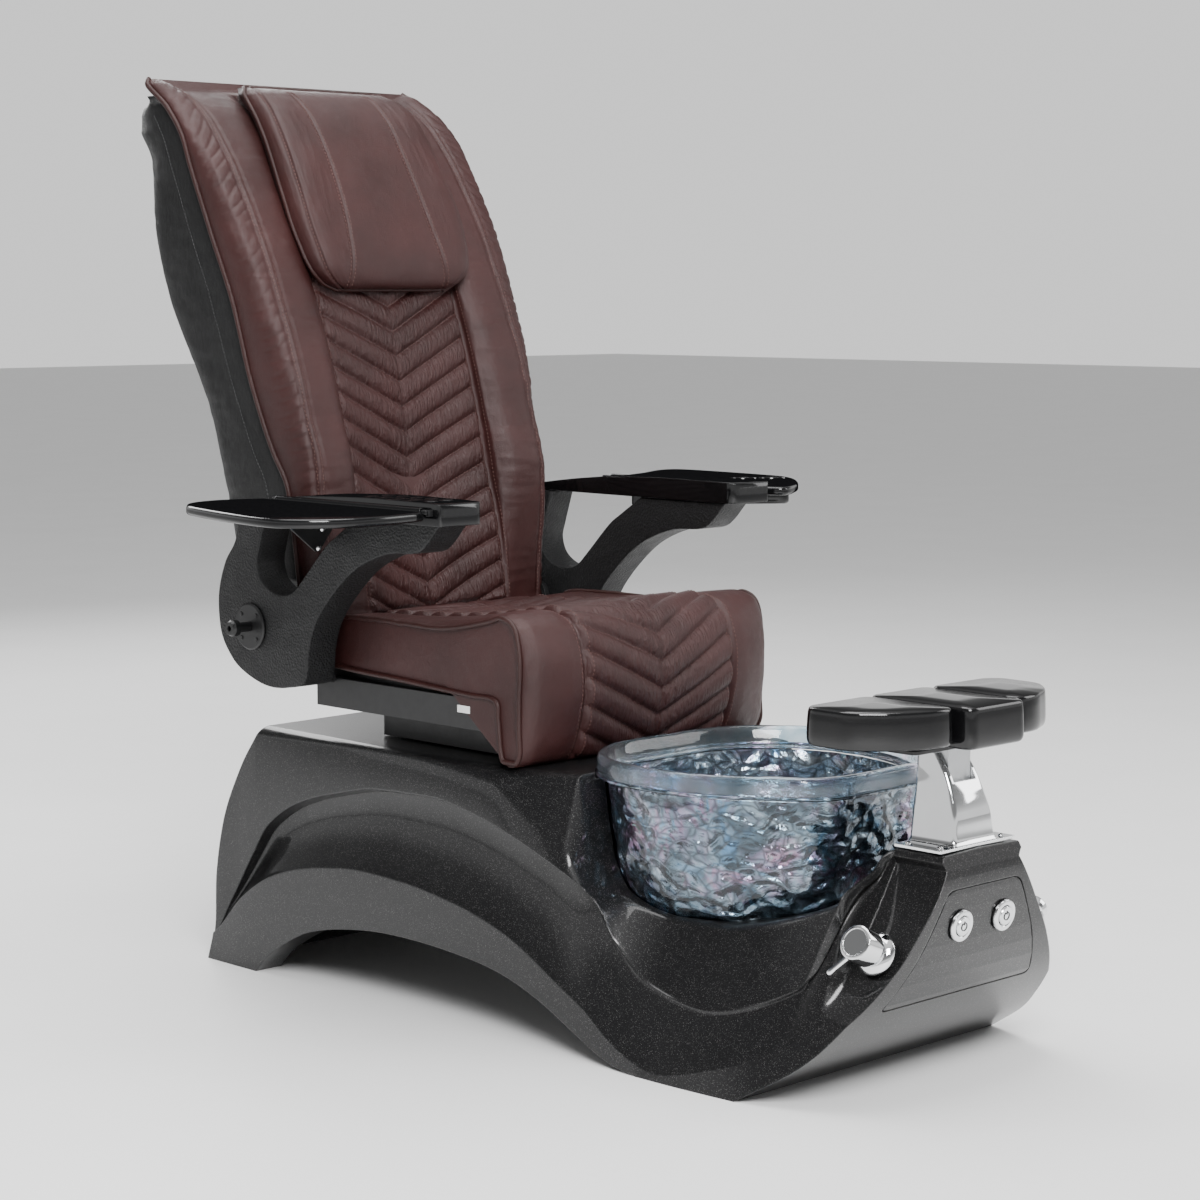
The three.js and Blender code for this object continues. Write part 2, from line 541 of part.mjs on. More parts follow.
function backCushion() {
  return loft(BACK_HEIGHTS.map((z, i) => {
    const end = i === 0 || i === BACK_HEIGHTS.length - 1;
    const pull = end ? 12 : 0;
    const half = backHalf(z) - pull;
    const front = [[0, centreY(z)], [70, THREE.MathUtils.lerp(centreY(z), seamY(z), 0.25)], [148, seamY(z)],
      [200, bolsterY(z) + 4], [244, bolsterY(z)],
      [half - 4, THREE.MathUtils.lerp(bolsterY(z), borderY(z), 0.45)],
      [half, borderY(z) - 4]].map(([x, y]) => [x, y + (end ? 8 : 0)]);
    const last = i === 0 ? BACK_FOOT_REAR : borderY(z) + 6;
    const rear = [[half - 6, last], [0, last]];
    const right = [...front, ...rear];
    const left = right.slice(1, -1).reverse().map(([x, y]) => [-x, y]);
    return [...right, ...left].map(([x, y]) => [x, y, z]);
  }), [0, 1]);
}

const CAVITY = [[350, 690], [582, 690], [598, 768], [626, 891], [656, 977], [710, 1084], [738, 1215],
  [744, 1316], [748, 1368], [540, 1368]];

function backShell() {
  const heights = BACK_HEIGHTS.slice(2, -1);
  const outside = loft(heights.map((z, i) => {
    const pull = i === heights.length - 1 ? 14 : 0;
    const half = backHalf(z) - 6 - pull;
    const front = borderY(z) + 6 + GAP * 2;
    const rear = rearY(z) - pull;
    const right = [[0, front], [half, front], [half + 1, front + 20], [half - 4, (front + rear) / 2],
      [half - 22, rear - 22], [half - 60, rear + 8], [half * 0.4, rear + REAR_CROWN * 0.85],
      [0, rear + REAR_CROWN]];
    const left = right.slice(1, -1).reverse().map(([x, y]) => [-x, y]);
    return [...right, ...left].map(([x, y]) => [x, y, z]);
  }), [0, 1]);
  const slot = (side) => block(side * 103 - 6, side * 103 + 6, 436, 492, 630, 700);
  return cut(outside, prism(CAVITY, 'x', -205, 205), slot(-1), slot(1));
}

add('back_cushion', backCushion(), leather());
add('back_shell', backShell(), blackLeather());

function headrest() {
  const heights = [[1106, 128, 1], [1126, 154, 0], [1160, 172, 0], [1220, 178, 0], [1290, 176, 0],
    [1350, 172, 0], [1395, 168, 0], [1425, 161, 0], [1440, 146, 1]];
  const front = curve([[1100, 416], [1200, 446], [1290, 489], [1360, 531], [1440, 588]]);
  return loft(heights.map(([z, half, end]) => {
    const rear = Math.min(centreY(z), seamY(z)) - 2;
    const climb = THREE.MathUtils.lerp(seamY(z), bolsterY(z) + 4, Math.max(0, half - 156) / 52);
    const edge = Math.min(rear, climb - 4);
    const face = end ? edge - 26 : front(z);
    const side = (share) => THREE.MathUtils.lerp(face, edge, share);
    const right = [[0, face], [half * 0.6, face + 1], [half - 11, face + 4], [half - 2, side(0.3)],
      [half, side(0.8)], [half - 8, edge], [Math.min(142, half - 14), rear], [0, rear]];
    const left = right.slice(1, -1).reverse().map(([x, y]) => [-x, y]);
    return [...right, ...left].map(([x, y]) => [x, y, z]);
  }), [0, 1]);
}
add('headrest_pillow', common(headrest(), headrestRoom()), leather());

/** Space in front of the back cushion that the headrest pillow may fill. */
function headrestRoom() {
  const face = [1100, 1102, 1150, 1200, 1250, 1300, 1340, 1380, 1430, 1445];
  const clear = face.map((z) => [Math.min(seamY(z), centreY(z), bolsterY(z)) - 3, z]);
  return prism([[380, 1100], ...clear, [380, 1445]], 'x', -200, 200);
}

// ---------------------------------------------------------------- back frame and massage drive
const MASSAGE_TILT = THREE.MathUtils.degToRad(-17);
const MASSAGE = { y: 500, z: 930 };

/** Piece built round the middle of the massage track, then leaned back with it. */
const onTrack = (geometry) => geometry.rotateX(MASSAGE_TILT).translate(0, MASSAGE.y, MASSAGE.z);

function backFrame() {
  const side = prism(rounded([[375, 498, 16], [418, 498, 16], [470, 556], [572, 602], [576, 639.4, 2],
    [400, 639.4, 2], [398, 596, 2], [372, 560]], 12), 'x', 205, 213);
  const upright = onTrack(block(99, 107, 28, 52, -345, 226));
  const crossTube = rod(14, 412, 'x', [-206, 445, 612], 18);
  return cut(join(side, mirrored(side), crossTube, upright, mirrored(upright)),
    rod(RECLINE.r + GAP, 460, 'x', [-230, RECLINE.y, RECLINE.z]));
}
add('back_frame', backFrame(), steelBlack());

const guideRod = (side) => rod(6, 430, 'z', [side * 78, 40, -215], 12);
const endBar = (z) => block(-98.6, 98.6, 33, 47, z, z + 12);
add('massage_track', onTrack(join(guideRod(-1), guideRod(1), endBar(-222), endBar(210))), steel());
const carriage = () => cut(
  join(block(-92, 92, 26, 54, -34, 34), block(-30, 30, 4, 30, -24, 24)),
  ...[-1, 1].map((side) => rod(6.6, 90, 'z', [side * 78, 40, -45], 12)),
);
add('massage_carriage', onTrack(carriage()), steelBlack());
[['left', 1], ['right', -1]].forEach(([name, side]) => {
  add(`massage_roller_${name}`, onTrack(turned([[0, 0], [20, 0], [24, 6], [24, 22], [20, 28], [0, 28]], 'x',
    [side > 0 ? 31 : -59, -8, 0], 20)), rubber());
});

// ---------------------------------------------------------------- recline and arm mounts
add('recline_shaft', rod(RECLINE.r, 544, 'x', [-272, RECLINE.y, RECLINE.z], 18), steel());
add('recline_motor', cut(
  join(block(-40, 60, 372, 418, 497, 545), block(-30, 50, 306, 375, 500, 530)),
  rod(RECLINE.r + GAP, 160, 'x', [-60, RECLINE.y, RECLINE.z]),
), steelBlack());

function armBracket() {
  const plate = prism(rounded([[278, 490], [425, 490], [446, 540], [440, 600], [400, 616], [360, 600],
    [340, 530], [278, 512]], 10), 'x', 264.5, 274);
  const spindle = rod(14, 62, 'x', [272, ARM_PIVOT.y, ARM_PIVOT.z]);
  return cut(join(plate, spindle), rod(RECLINE.r + GAP / 2, 30, 'x', [250, RECLINE.y, RECLINE.z]));
}
SIDES.forEach(([name, place]) => add(`arm_bracket_${name}`, place(armBracket()), steelBlack()));

// ---------------------------------------------------------------- arms
const ARM_TOP = CAP_UNDER - GAP;
const ARM_FRONT_EDGE = through([[258, 545], [243, 587], [203, 635], [143, 683], [71, 711], [6, 717],
  [-20, 729], [-52, ARM_TOP]], 10);
const ARM_WINDOW = through([[140, ARM_TOP], [187, 732], [216, 712], [262, 667], [293, 639], [322, 631],
  [350, 636], [374, 652], [384, 678], [377, 705], [358, ARM_TOP]], 14);
const ARM_REAR_EDGE = through([[430, ARM_TOP], [440, 711], [468, 673], [486, 620], [481, 560],
  [455, 522], [426, 502], [384, 487], [348, 482], [312, 485], [271, 495], [260, 520]], 16);

function armBody() {
  const outline = [...ARM_FRONT_EDGE, ...ARM_WINDOW, ...ARM_REAR_EDGE];
  return cut(
    prism(outline, 'x', ARM_IN, ARM_OUT, 4),
    rod(14 + GAP, 80, 'x', [ARM_IN - 5, ARM_PIVOT.y, ARM_PIVOT.z]),
  );
}

function armCap() {
  const crown = through([[-78, 791], [-73, 795], [15, 797], [106, 797], [244, 791], [356, 779],
    [428, 768]], 12);
  const side = [...crown, [428, CAP_UNDER], [-80, CAP_UNDER]];
  const plan = rounded([[CAP_IN, -80, 18], [CAP_OUT, -80, 8], [CAP_OUT, 350], [CAP_OUT - 14, 430, 12],
    [CAP_IN + 10, 430, 12]], 20);
  return common(prism(side, 'x', CAP_IN - 5, CAP_OUT + 5), prism(plan, 'z', 740, 820));
}

function pivotDisc() {
  const disc = turned([[0, 0], [37.5, 0], [37.5, 3], [35, 5], [0, 5]], 'x',
    [ARM_OUT + GAP, ARM_PIVOT.y, ARM_PIVOT.z], 32);
  const screws = [0, 1, 2, 3].map((k) => {
    const angle = Math.PI / 4 + (k * Math.PI) / 2;
    const centre = [ARM_OUT + 3, ARM_PIVOT.y + 27 * Math.cos(angle), ARM_PIVOT.z + 27 * Math.sin(angle)];
    return rod(3.5, 4, 'x', centre, 12);
  });
  return join(disc, ...screws);
}

const pivotBolt = () => cut(
  turned([[0, 0], [8, 0], [8, 22], [13, 24], [13, 33], [10, 38], [0, 38]], 'x',
    [ARM_OUT + 5 + 2 * GAP, ARM_PIVOT.y, ARM_PIVOT.z], 20),
  rod(5, 20, 'x', [ARM_OUT + 34, ARM_PIVOT.y, ARM_PIVOT.z], 6),
);

// ---------------------------------------------------------------- trays
const TRAY_PLANS = {
  left: through([[369, -62], [392, -86], [455, -51], [499, -16], [546, 31], [578, 75], [592, 114], [600, 190],
    [604, 280], [600, 345], [580, 368], [540, 362], [470, 330], [369, 300]], 39),
  right: through([[369, -58], [400, -67], [469, -76], [540, -66], [588, -28], [604, 22], [588, 130],
    [555, 257], [532, 300], [500, 330], [440, 344], [369, 320]], 33),
};
const WELLS = [[540, 80], [500, 110]];

function tray(side) {
  const plate = prism(TRAY_PLANS[side], 'z', TRAY_UNDER, TRAY_TOP, 2);
  const barrel = rod(TRAY_HINGE.r, TRAY_REAR - TRAY_FRONT - 20, 'y',
    [TRAY_HINGE.x, TRAY_FRONT + 10, TRAY_HINGE.z], 16);
  const bore = rod(4, 600, 'y', [TRAY_HINGE.x, -200, TRAY_HINGE.z], 14);
  const holes = side === 'left' ? WELLS.map(([x, y]) => rod(WELL_R, 60, 'z', [x, y, 740], 24)) : [];
  return cut(join(plate, barrel), bore, ...holes);
}

function hingePin() {
  const pin = rod(3.6, TRAY_REAR - TRAY_FRONT + 2, 'y', [TRAY_HINGE.x, TRAY_FRONT - 1, TRAY_HINGE.z], 14);
  const lug = (y) => block(CAP_OUT + GAP, TRAY_HINGE.x + 1.5, y, y + 6, TRAY_HINGE.z - 6, TRAY_HINGE.z + 3.4);
  return join(pin, lug(TRAY_FRONT - 6), lug(TRAY_REAR + 1));
}

const trayGusset = () => prism([[326, 760], [362, 760], [367, 770], [424, 770], [424, 758], [362, 709],
  [352, 712], [326, 745]], 'y', 203.5, 206.5);

function trayCups() {
  const tub = prism(rounded([[578, 84], [546, 42], [462, 105], [494, 147]], 22, 5), 'z', 742,
    TRAY_UNDER - GAP);
  return cut(tub, ...WELLS.map(([x, y]) => rod(WELL_R, 60, 'z', [x, y, 746], 24)));
}

SIDES.forEach(([name, place]) => {
  add(`arm_${name}`, place(armBody()), gritBlack());
  add(`arm_cap_${name}`, place(armCap()), glossBlack());
  add(`arm_pivot_disc_${name}`, place(pivotDisc()), steelBlack());
  add(`arm_pivot_bolt_${name}`, place(pivotBolt()), steelBlack());
  add(`tray_${name}`, place(tray(name)), glossBlack());
  add(`tray_hinge_pin_${name}`, place(hingePin()), steel());
  add(`tray_gusset_${name}`, place(trayGusset()), steelBlack());
});
add('tray_cups_left', trayCups(), glossBlack());

export default chair;
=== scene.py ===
"""Pedicure spa chair: the looks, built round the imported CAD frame. Shapes are written in millimetres."""

import json
import math

import bmesh
import bpy
import numpy as np
from mathutils import Euler, Matrix, Vector


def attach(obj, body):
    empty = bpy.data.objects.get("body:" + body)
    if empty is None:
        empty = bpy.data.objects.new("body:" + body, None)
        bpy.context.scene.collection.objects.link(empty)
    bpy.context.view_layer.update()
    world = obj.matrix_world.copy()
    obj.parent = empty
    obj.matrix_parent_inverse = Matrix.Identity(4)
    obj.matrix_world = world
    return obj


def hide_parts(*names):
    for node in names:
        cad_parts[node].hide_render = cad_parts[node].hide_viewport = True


MM = 0.001
SIDES = (("left", 1), ("right", -1))  # the sitter's left is +X
SHARP_PRISM, SHARP_TURNED = 35, 32  # edges that turn by more degrees than this stay sharp
TUBE_SIDES = 10
STITCH, STITCH_GAP = 4.6, 2.0
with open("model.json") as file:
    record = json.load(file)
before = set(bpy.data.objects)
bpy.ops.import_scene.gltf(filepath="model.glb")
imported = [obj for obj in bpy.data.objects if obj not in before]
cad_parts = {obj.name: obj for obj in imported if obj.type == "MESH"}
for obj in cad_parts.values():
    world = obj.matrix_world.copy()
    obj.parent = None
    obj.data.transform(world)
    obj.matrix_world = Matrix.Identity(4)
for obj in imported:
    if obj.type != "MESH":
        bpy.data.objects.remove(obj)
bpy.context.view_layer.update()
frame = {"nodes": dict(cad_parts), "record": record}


# --- numbers and curves
def curve(*pairs):
    """Smooth function through (t, value) pairs that never overshoots them."""
    t, v = np.array(pairs, float).T
    slope = np.diff(v) / np.diff(t)
    tangent = np.concatenate([slope[:1], np.zeros(len(t) - 2), slope[-1:]])
    a, b = slope[:-1], slope[1:]
    same = a * b > 0
    tangent[1:-1][same] = (2 * a * b / np.where(same, a + b, 1))[same]

    def at(x):
        x = np.clip(x, t[0], t[-1])
        i = np.clip(np.searchsorted(t, x, side="right") - 1, 0, len(t) - 2)
        h = t[i + 1] - t[i]
        u = (x - t[i]) / h
        rise = v[i] * (1 + 2 * u) * (1 - u) ** 2 + v[i + 1] * u * u * (3 - 2 * u)
        return rise + h * u * (1 - u) * (tangent[i] * (1 - u) - tangent[i + 1] * u)

    return at


def spline(points, count, closed=False):
    """Evenly spaced points on a smooth line through the given ones."""
    p = np.array(points, float)
    ring = np.vstack([p[-1:], p, p[:2]]) if closed else np.vstack([2 * p[0] - p[1], p, 2 * p[-1] - p[-2]])
    t = np.linspace(0, 1, 24, endpoint=False)[:, None]
    runs = []
    for i in range(len(ring) - 3):
        a, b, c, d = ring[i : i + 4]
        runs.append(
            0.5 * (2 * b + (c - a) * t + (2 * a - 5 * b + 4 * c - d) * t**2 + (3 * b - a - 3 * c + d) * t**3)
        )
    line = np.vstack(runs + [ring[-2:-1]])
    return evenly(line, count, closed)


def evenly(line, count, closed=False):
    """The same line with evenly spaced points; a closed line leaves out the repeated end."""
    step = np.r_[0, np.cumsum(np.linalg.norm(np.diff(line, axis=0), axis=1))]
    want = np.linspace(0, step[-1], count, endpoint=not closed)
    return np.stack([np.interp(want, step, line[:, k]) for k in range(line.shape[1])], 1)


def rounded(corners, radius, steps=8):
    """Outline with its corners rounded; a corner is (u, v) or (u, v, its own radius)."""
    pts = [np.array(c[:2], float) for c in corners]
    out = []
    for i, c in enumerate(corners):
        here, back, ahead = pts[i], pts[i - 1] - pts[i], pts[(i + 1) % len(pts)] - pts[i]
        r = min(c[2] if len(c) > 2 else radius, np.hypot(*back) / 2.05, np.hypot(*ahead) / 2.05)
        if r <= 0:
            out.append(here)
            continue
        a, b = here + back / np.hypot(*back) * r, here + ahead / np.hypot(*ahead) * r
        for t in np.linspace(0, 1, steps + 1):
            out.append((1 - t) ** 2 * a + 2 * t * (1 - t) * here + t * t * b)
    return np.array(out)


def smooth_step(x):
    """0 up to 0, 1 from 1 on, and an S between."""
    x = np.clip(x, 0, 1)
    return x * x * (3 - 2 * x)


def bump(x, width):
    """1 at 0, falling to nothing a few widths away."""
    return np.exp(-((x / width) ** 2))


# --- meshes
def mesh(name, verts, faces, body=None, material=None, smooth=True):
    """New piece from vertices in millimetres."""
    data = bpy.data.meshes.new(name)
    data.from_pydata([tuple(v) for v in np.asarray(verts, float) * MM], [], [tuple(map(int, f)) for f in faces])
    data.validate()
    obj = bpy.data.objects.new(name, data)
    bpy.context.scene.collection.objects.link(obj)
    return finish_piece(obj, body, material, smooth)


def finish_piece(obj, body=None, material=None, smooth=True, angle=None):
    """Shades a piece, keeps edges sharp past an angle in degrees, gives it a material and a CAD body to ride on."""
    if smooth:
        obj.data.shade_smooth()
    if angle is not None:
        obj.data.set_sharp_from_angle(angle=math.radians(angle))
    if material is not None:
        obj.data.materials.clear()
        obj.data.materials.append(material)
    if body:
        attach(obj, body)
    return obj


def stands_for(obj, node):
    """Puts a finished piece in the place of its CAD node, by hiding the node."""
    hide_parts(node)
    return obj


def grid_faces(rows, cols, wrap_cols=False, wrap_rows=False, start=0):
    """Quads between the points of a grid, closed round its columns or rows if asked."""
    r = np.arange(rows if wrap_rows else rows - 1)
    c = np.arange(cols if wrap_cols else cols - 1)
    a, b = np.meshgrid(r, c, indexing="ij")
    a2, b2 = (a + 1) % rows, (b + 1) % cols
    quads = np.stack([a * cols + b, a * cols + b2, a2 * cols + b2, a2 * cols + b], -1)
    return (quads.reshape(-1, 4) + start).tolist()


def bridge(one, two):
    """Faces between two closed rings of vertex numbers."""
    return [[a, b, d, c] for a, b, c, d in zip(one, one[1:] + one[:1], two, two[1:] + two[:1])]


def loft(name, loops, **kw):
    """Closed skin through loops (rows of points), capped at both ends."""
    loops = np.asarray(loops, float)
    rows, cols = loops.shape[:2]
    faces = grid_faces(rows, cols, wrap_cols=True)
    faces += [list(range(cols))[::-1], list(range((rows - 1) * cols, rows * cols))]
    obj = mesh(name, loops.reshape(-1, 3), faces, **kw)
    face_out(obj)
    return obj


def face_out(obj):
    """Turns every face outwards."""
    bm = bmesh.new()
    bm.from_mesh(obj.data)
    bmesh.ops.recalc_face_normals(bm, faces=bm.faces)
    bm.to_mesh(obj.data)
    bm.free()


def prism(name, outline, axis, low, high, round_by=0, segments=3, **kw):
    """Extruded outline with rounded rims. Along x the outline is (y, z), along y (x, z), along z (x, y)."""
    flat = np.asarray(outline, float)
    obj = loft(name, [np.insert(flat, "xyz".index(axis), d, 1) for d in (low, high)], **kw)
    if round_by:
        round_edges(obj, round_by, segments, 50)
    return finish_piece(obj, angle=SHARP_PRISM)


def round_edges(obj, radius, segments, above):
    """Rounds the edges that turn by more than an angle in degrees."""
    modifier(obj, "BEVEL", width=radius * MM, segments=segments, limit_method="ANGLE",
             angle_limit=math.radians(above), harden_normals=False)


def modifier(obj, kind, **settings):
    """Adds a modifier and applies it."""
    m = obj.modifiers.new(kind.lower(), kind)
    for key, value in settings.items():
        setattr(m, key, value)
    graph = bpy.context.evaluated_depsgraph_get()
    new = bpy.data.meshes.new_from_object(obj.evaluated_get(graph))
    obj.modifiers.clear()
    old, obj.data = obj.data, new
    bpy.data.meshes.remove(old)


def boolean(obj, tool, operation="DIFFERENCE"):
    """Cuts, joins or crosses a piece with a tool, which is used up."""
    modifier(obj, "BOOLEAN", object=tool, operation=operation, solver="MANIFOLD")
    bpy.data.objects.remove(tool)


def turned(name, profile, at=(0, 0, 0), axis=(0, 0, 1), segments=64, **kw):
    """Turned piece from a (radius, height) profile that starts and ends on the axis, or closes on itself."""
    p = np.array(profile, float)
    ring = np.linspace(0, 2 * math.pi, segments, endpoint=False)
    closed = p[0, 0] > 0
    wall = p if closed else p[1:-1]
    verts = np.stack([np.outer(wall[:, 0], np.cos(ring)), np.outer(wall[:, 0], np.sin(ring)),
                      np.repeat(wall[:, 1:], segments, 1)], -1).reshape(-1, 3)
    faces = grid_faces(len(wall), segments, wrap_cols=True, wrap_rows=closed)
    if not closed:
        n, last = len(verts), (len(wall) - 1) * segments
        verts = np.vstack([verts, [[0, 0, p[0, 1]], [0, 0, p[-1, 1]]]])
        for k in range(segments):
            j = (k + 1) % segments
            faces += [[n, j, k], [last + k, last + j, n + 1]]
    turn = Vector((0, 0, 1)).rotation_difference(Vector(axis)).to_matrix()
    verts = verts @ np.array(turn).T + np.array(at, float)
    obj = mesh(name, verts, faces, **kw)
    face_out(obj)
    return finish_piece(obj, angle=SHARP_TURNED)


def sides_along(p, closed):
    """Two side directions that don't twist, at each point of a path."""
    nxt = np.roll(p, -1, 0) if closed else np.vstack([p[1:], 2 * p[-1] - p[-2]])
    prv = np.roll(p, 1, 0) if closed else np.vstack([2 * p[0] - p[1], p[:-1]])
    t = nxt - prv
    t /= np.linalg.norm(t, axis=1, keepdims=True)
    side = np.zeros_like(p)
    first = np.cross(t[0], [0, 0, 1.0])
    if np.linalg.norm(first) < 1e-3:
        first = np.cross(t[0], [1.0, 0, 0])
    side[0] = first / np.linalg.norm(first)
    for i in range(1, len(p)):
        s = side[i - 1] - t[i] * np.dot(side[i - 1], t[i])
        side[i] = s / np.linalg.norm(s)
    return side, np.cross(t, side)


def tube(name, path, radius, closed=False, **kw):
    """Round welt or rod along a path."""
    p = np.asarray(path, float)
    a, b = sides_along(p, closed)
    ring = np.linspace(0, 2 * math.pi, TUBE_SIDES, endpoint=False)[None, :, None]
    verts = p[:, None] + radius * (np.cos(ring) * a[:, None] + np.sin(ring) * b[:, None])
    faces = grid_faces(len(p), TUBE_SIDES, wrap_cols=True, wrap_rows=closed)
    if not closed:
        faces += [list(range(TUBE_SIDES)), list(range((len(p) - 1) * TUBE_SIDES, len(p) * TUBE_SIDES))]
    obj = mesh(name, verts.reshape(-1, 3), faces, **kw)
    face_out(obj)
    return obj


def stitches(name, lines, body, material, thick=1.0, sink=0.0):
    """Thread stitches laid along lines of (points, outward normals)."""
    ring = np.linspace(0, 2 * math.pi, 6, endpoint=False)
    verts, faces = [], []
    for pts, normals in lines:
        total = np.linalg.norm(np.diff(pts, axis=0), axis=1).sum()
        n = max(2, int(total / (STITCH + STITCH_GAP)))
        both = evenly(np.hstack([pts, normals]), 2 * n + 1)
        for k in range(n):
            a, b = both[2 * k, :3], both[2 * k + 1, :3]
            up = both[2 * k, 3:]
            t = b - a
            t /= max(np.linalg.norm(t), 1e-6)
            side = np.cross(t, up)
            mid = (a + b) / 2 + up * (thick * 0.35 - sink)
            for along, r in ((-1, 0.35), (-0.6, 1), (0.6, 1), (1, 0.35)):
                centre = mid + t * along * (STITCH / 2) - up * (abs(along) ** 3) * thick * 0.8
                for q in ring:
                    verts.append(centre + r * thick * (math.cos(q) * side + math.sin(q) * up * 0.8))
            s = len(verts) - 24
            faces += grid_faces(4, 6, wrap_cols=True, start=s)
            faces += [[s + 5 - i for i in range(6)], [s + 18 + i for i in range(6)]]
    return mesh(name, verts, faces, body=body, material=material)


def normals_of(points, probe, toward):
    """Unit normals of a grid of points, on the side where the one at the probe points toward a direction."""
    n = np.cross(np.gradient(points, axis=0), np.gradient(points, axis=1))
    n /= np.maximum(np.linalg.norm(n, axis=-1, keepdims=True), 1e-9)
    return -n if n[probe] @ toward < 0 else n


def lattice_noise(shape, cells, seed, octaves=2):
    """Smooth seeded noise on a grid, about -1 to 1."""
    r = np.random.default_rng(seed)
    total = np.zeros(shape)
    for o in range(octaves):
        n0, n1 = int(cells[0] * 2**o) + 3, int(cells[1] * 2**o) + 3
        g = r.uniform(-1, 1, (n0, n1))
        u = np.linspace(0.5, n0 - 2.5, shape[0])
        v = np.linspace(0.5, n1 - 2.5, shape[1])
        iu, iv = u.astype(int), v.astype(int)
        fu, fv = smooth_step(u - iu)[:, None], smooth_step(v - iv)[None]
        a, b = g[np.ix_(iu, iv)], g[np.ix_(iu + 1, iv)]
        c, d = g[np.ix_(iu, iv + 1)], g[np.ix_(iu + 1, iv + 1)]
        total += ((a * (1 - fu) + b * fu) * (1 - fv) + (c * (1 - fu) + d * fu) * fv) * 0.55**o
    return total


# --- materials
class Shader:
    """A Principled material built node by node."""

    def __init__(self, name, **values):
        self.material = bpy.data.materials.new(name)
        self.material.use_nodes = True
        self.tree = self.material.node_tree
        self.bsdf = self.tree.nodes["Principled BSDF"]
        self.coords = self.node("ShaderNodeTexCoord").outputs["Object"]
        for key, value in values.items():
            self.set(key.replace("_", " "), value)

    def set(self, socket, value):
        self.bsdf.inputs[socket].default_value = (*value, 1) if isinstance(value, tuple) else value

    def node(self, kind, **props):
        n = self.tree.nodes.new(kind)
        for key, value in props.items():
            setattr(n, key, value)
        return n

    def link(self, a, b):
        self.tree.links.new(a, b)

    def put(self, socket, value):
        """Links a value that comes from a node, and sets one that is a number or a colour."""
        if isinstance(value, bpy.types.NodeSocket):
            self.link(value, socket)
        else:
            socket.default_value = value

    def feed(self, node, **inputs):
        for key, value in inputs.items():
            self.put(node.inputs[key.replace("_", " ")], value)
        return node

    def noise(self, scale, detail=3.0, rough=0.55, coords=None, distortion=0.0):
        n = self.feed(self.node("ShaderNodeTexNoise"), Vector=coords or self.coords, Scale=scale, Detail=detail,
                      Roughness=rough, Distortion=distortion)
        return n.outputs["Fac"]

    def cells(self, scale, feature="F1", coords=None, out="Distance"):
        n = self.node("ShaderNodeTexVoronoi", feature=feature)
        return self.feed(n, Vector=coords or self.coords, Scale=scale).outputs[out]

    def scaled(self, x, y, z, coords=None):
        n = self.node("ShaderNodeMapping")
        return self.feed(n, Vector=coords or self.coords, Scale=(x, y, z)).outputs["Vector"]

    def ramp(self, fac, *stops):
        n = self.node("ShaderNodeValToRGB")
        while len(n.color_ramp.elements) < len(stops):
            n.color_ramp.elements.new(0.5)
        for e, (pos, colour) in zip(n.color_ramp.elements, stops):
            e.position = pos
            e.color = (*colour, 1) if isinstance(colour, tuple) else (colour, colour, colour, 1)
        self.link(fac, n.inputs["Fac"])
        return n.outputs["Color"]

    def math(self, op, a, b=0.0):
        n = self.node("ShaderNodeMath", operation=op)
        self.put(n.inputs[0], a)
        self.put(n.inputs[1], b)
        return n.outputs[0]

    def mix(self, fac, a, b):
        n = self.node("ShaderNodeMix", data_type="RGBA")
        for key, v in (("Factor", fac), ("A", a), ("B", b)):
            kind = "VALUE" if key == "Factor" else "RGBA"
            socket = next(s for s in n.inputs if s.name == key and s.type == kind)
            self.put(socket, (*v, 1) if isinstance(v, tuple) else v)
        return next(s for s in n.outputs if s.type == "RGBA")

    def colour(self, socket):
        self.link(socket, self.bsdf.inputs["Base Color"])

    def drive(self, name, socket):
        self.link(socket, self.bsdf.inputs[name])

    def rough(self, scale, low, high, detail=3, fine=0.55, top=0.8):
        """Roughness that wanders between two values."""
        self.drive("Roughness", self.ramp(self.noise(scale, detail, fine), (0.3, low), (top, high)))

    def tones(self, scale, low, high, detail=4, fine=0.55, start=0.3):
        """Colour that wanders between two tones."""
        self.colour(self.ramp(self.noise(scale, detail, fine), (start, low), (0.8, high)))

    def relief(self, height, distance, strength, under=None):
        n = self.feed(self.node("ShaderNodeBump"), Height=height, Distance=distance, Strength=strength)
        if under is not None:
            self.link(under, n.inputs["Normal"])
        return n.outputs["Normal"]

    def soft_edges(self, radius):
        n = self.node("ShaderNodeBevel", samples=4)
        n.inputs["Radius"].default_value = radius
        return n.outputs["Normal"]

    def normal(self, socket, coat=False):
        self.link(socket, self.bsdf.inputs["Normal"])
        if coat:
            self.link(socket, self.bsdf.inputs["Coat Normal"])
        return self.material


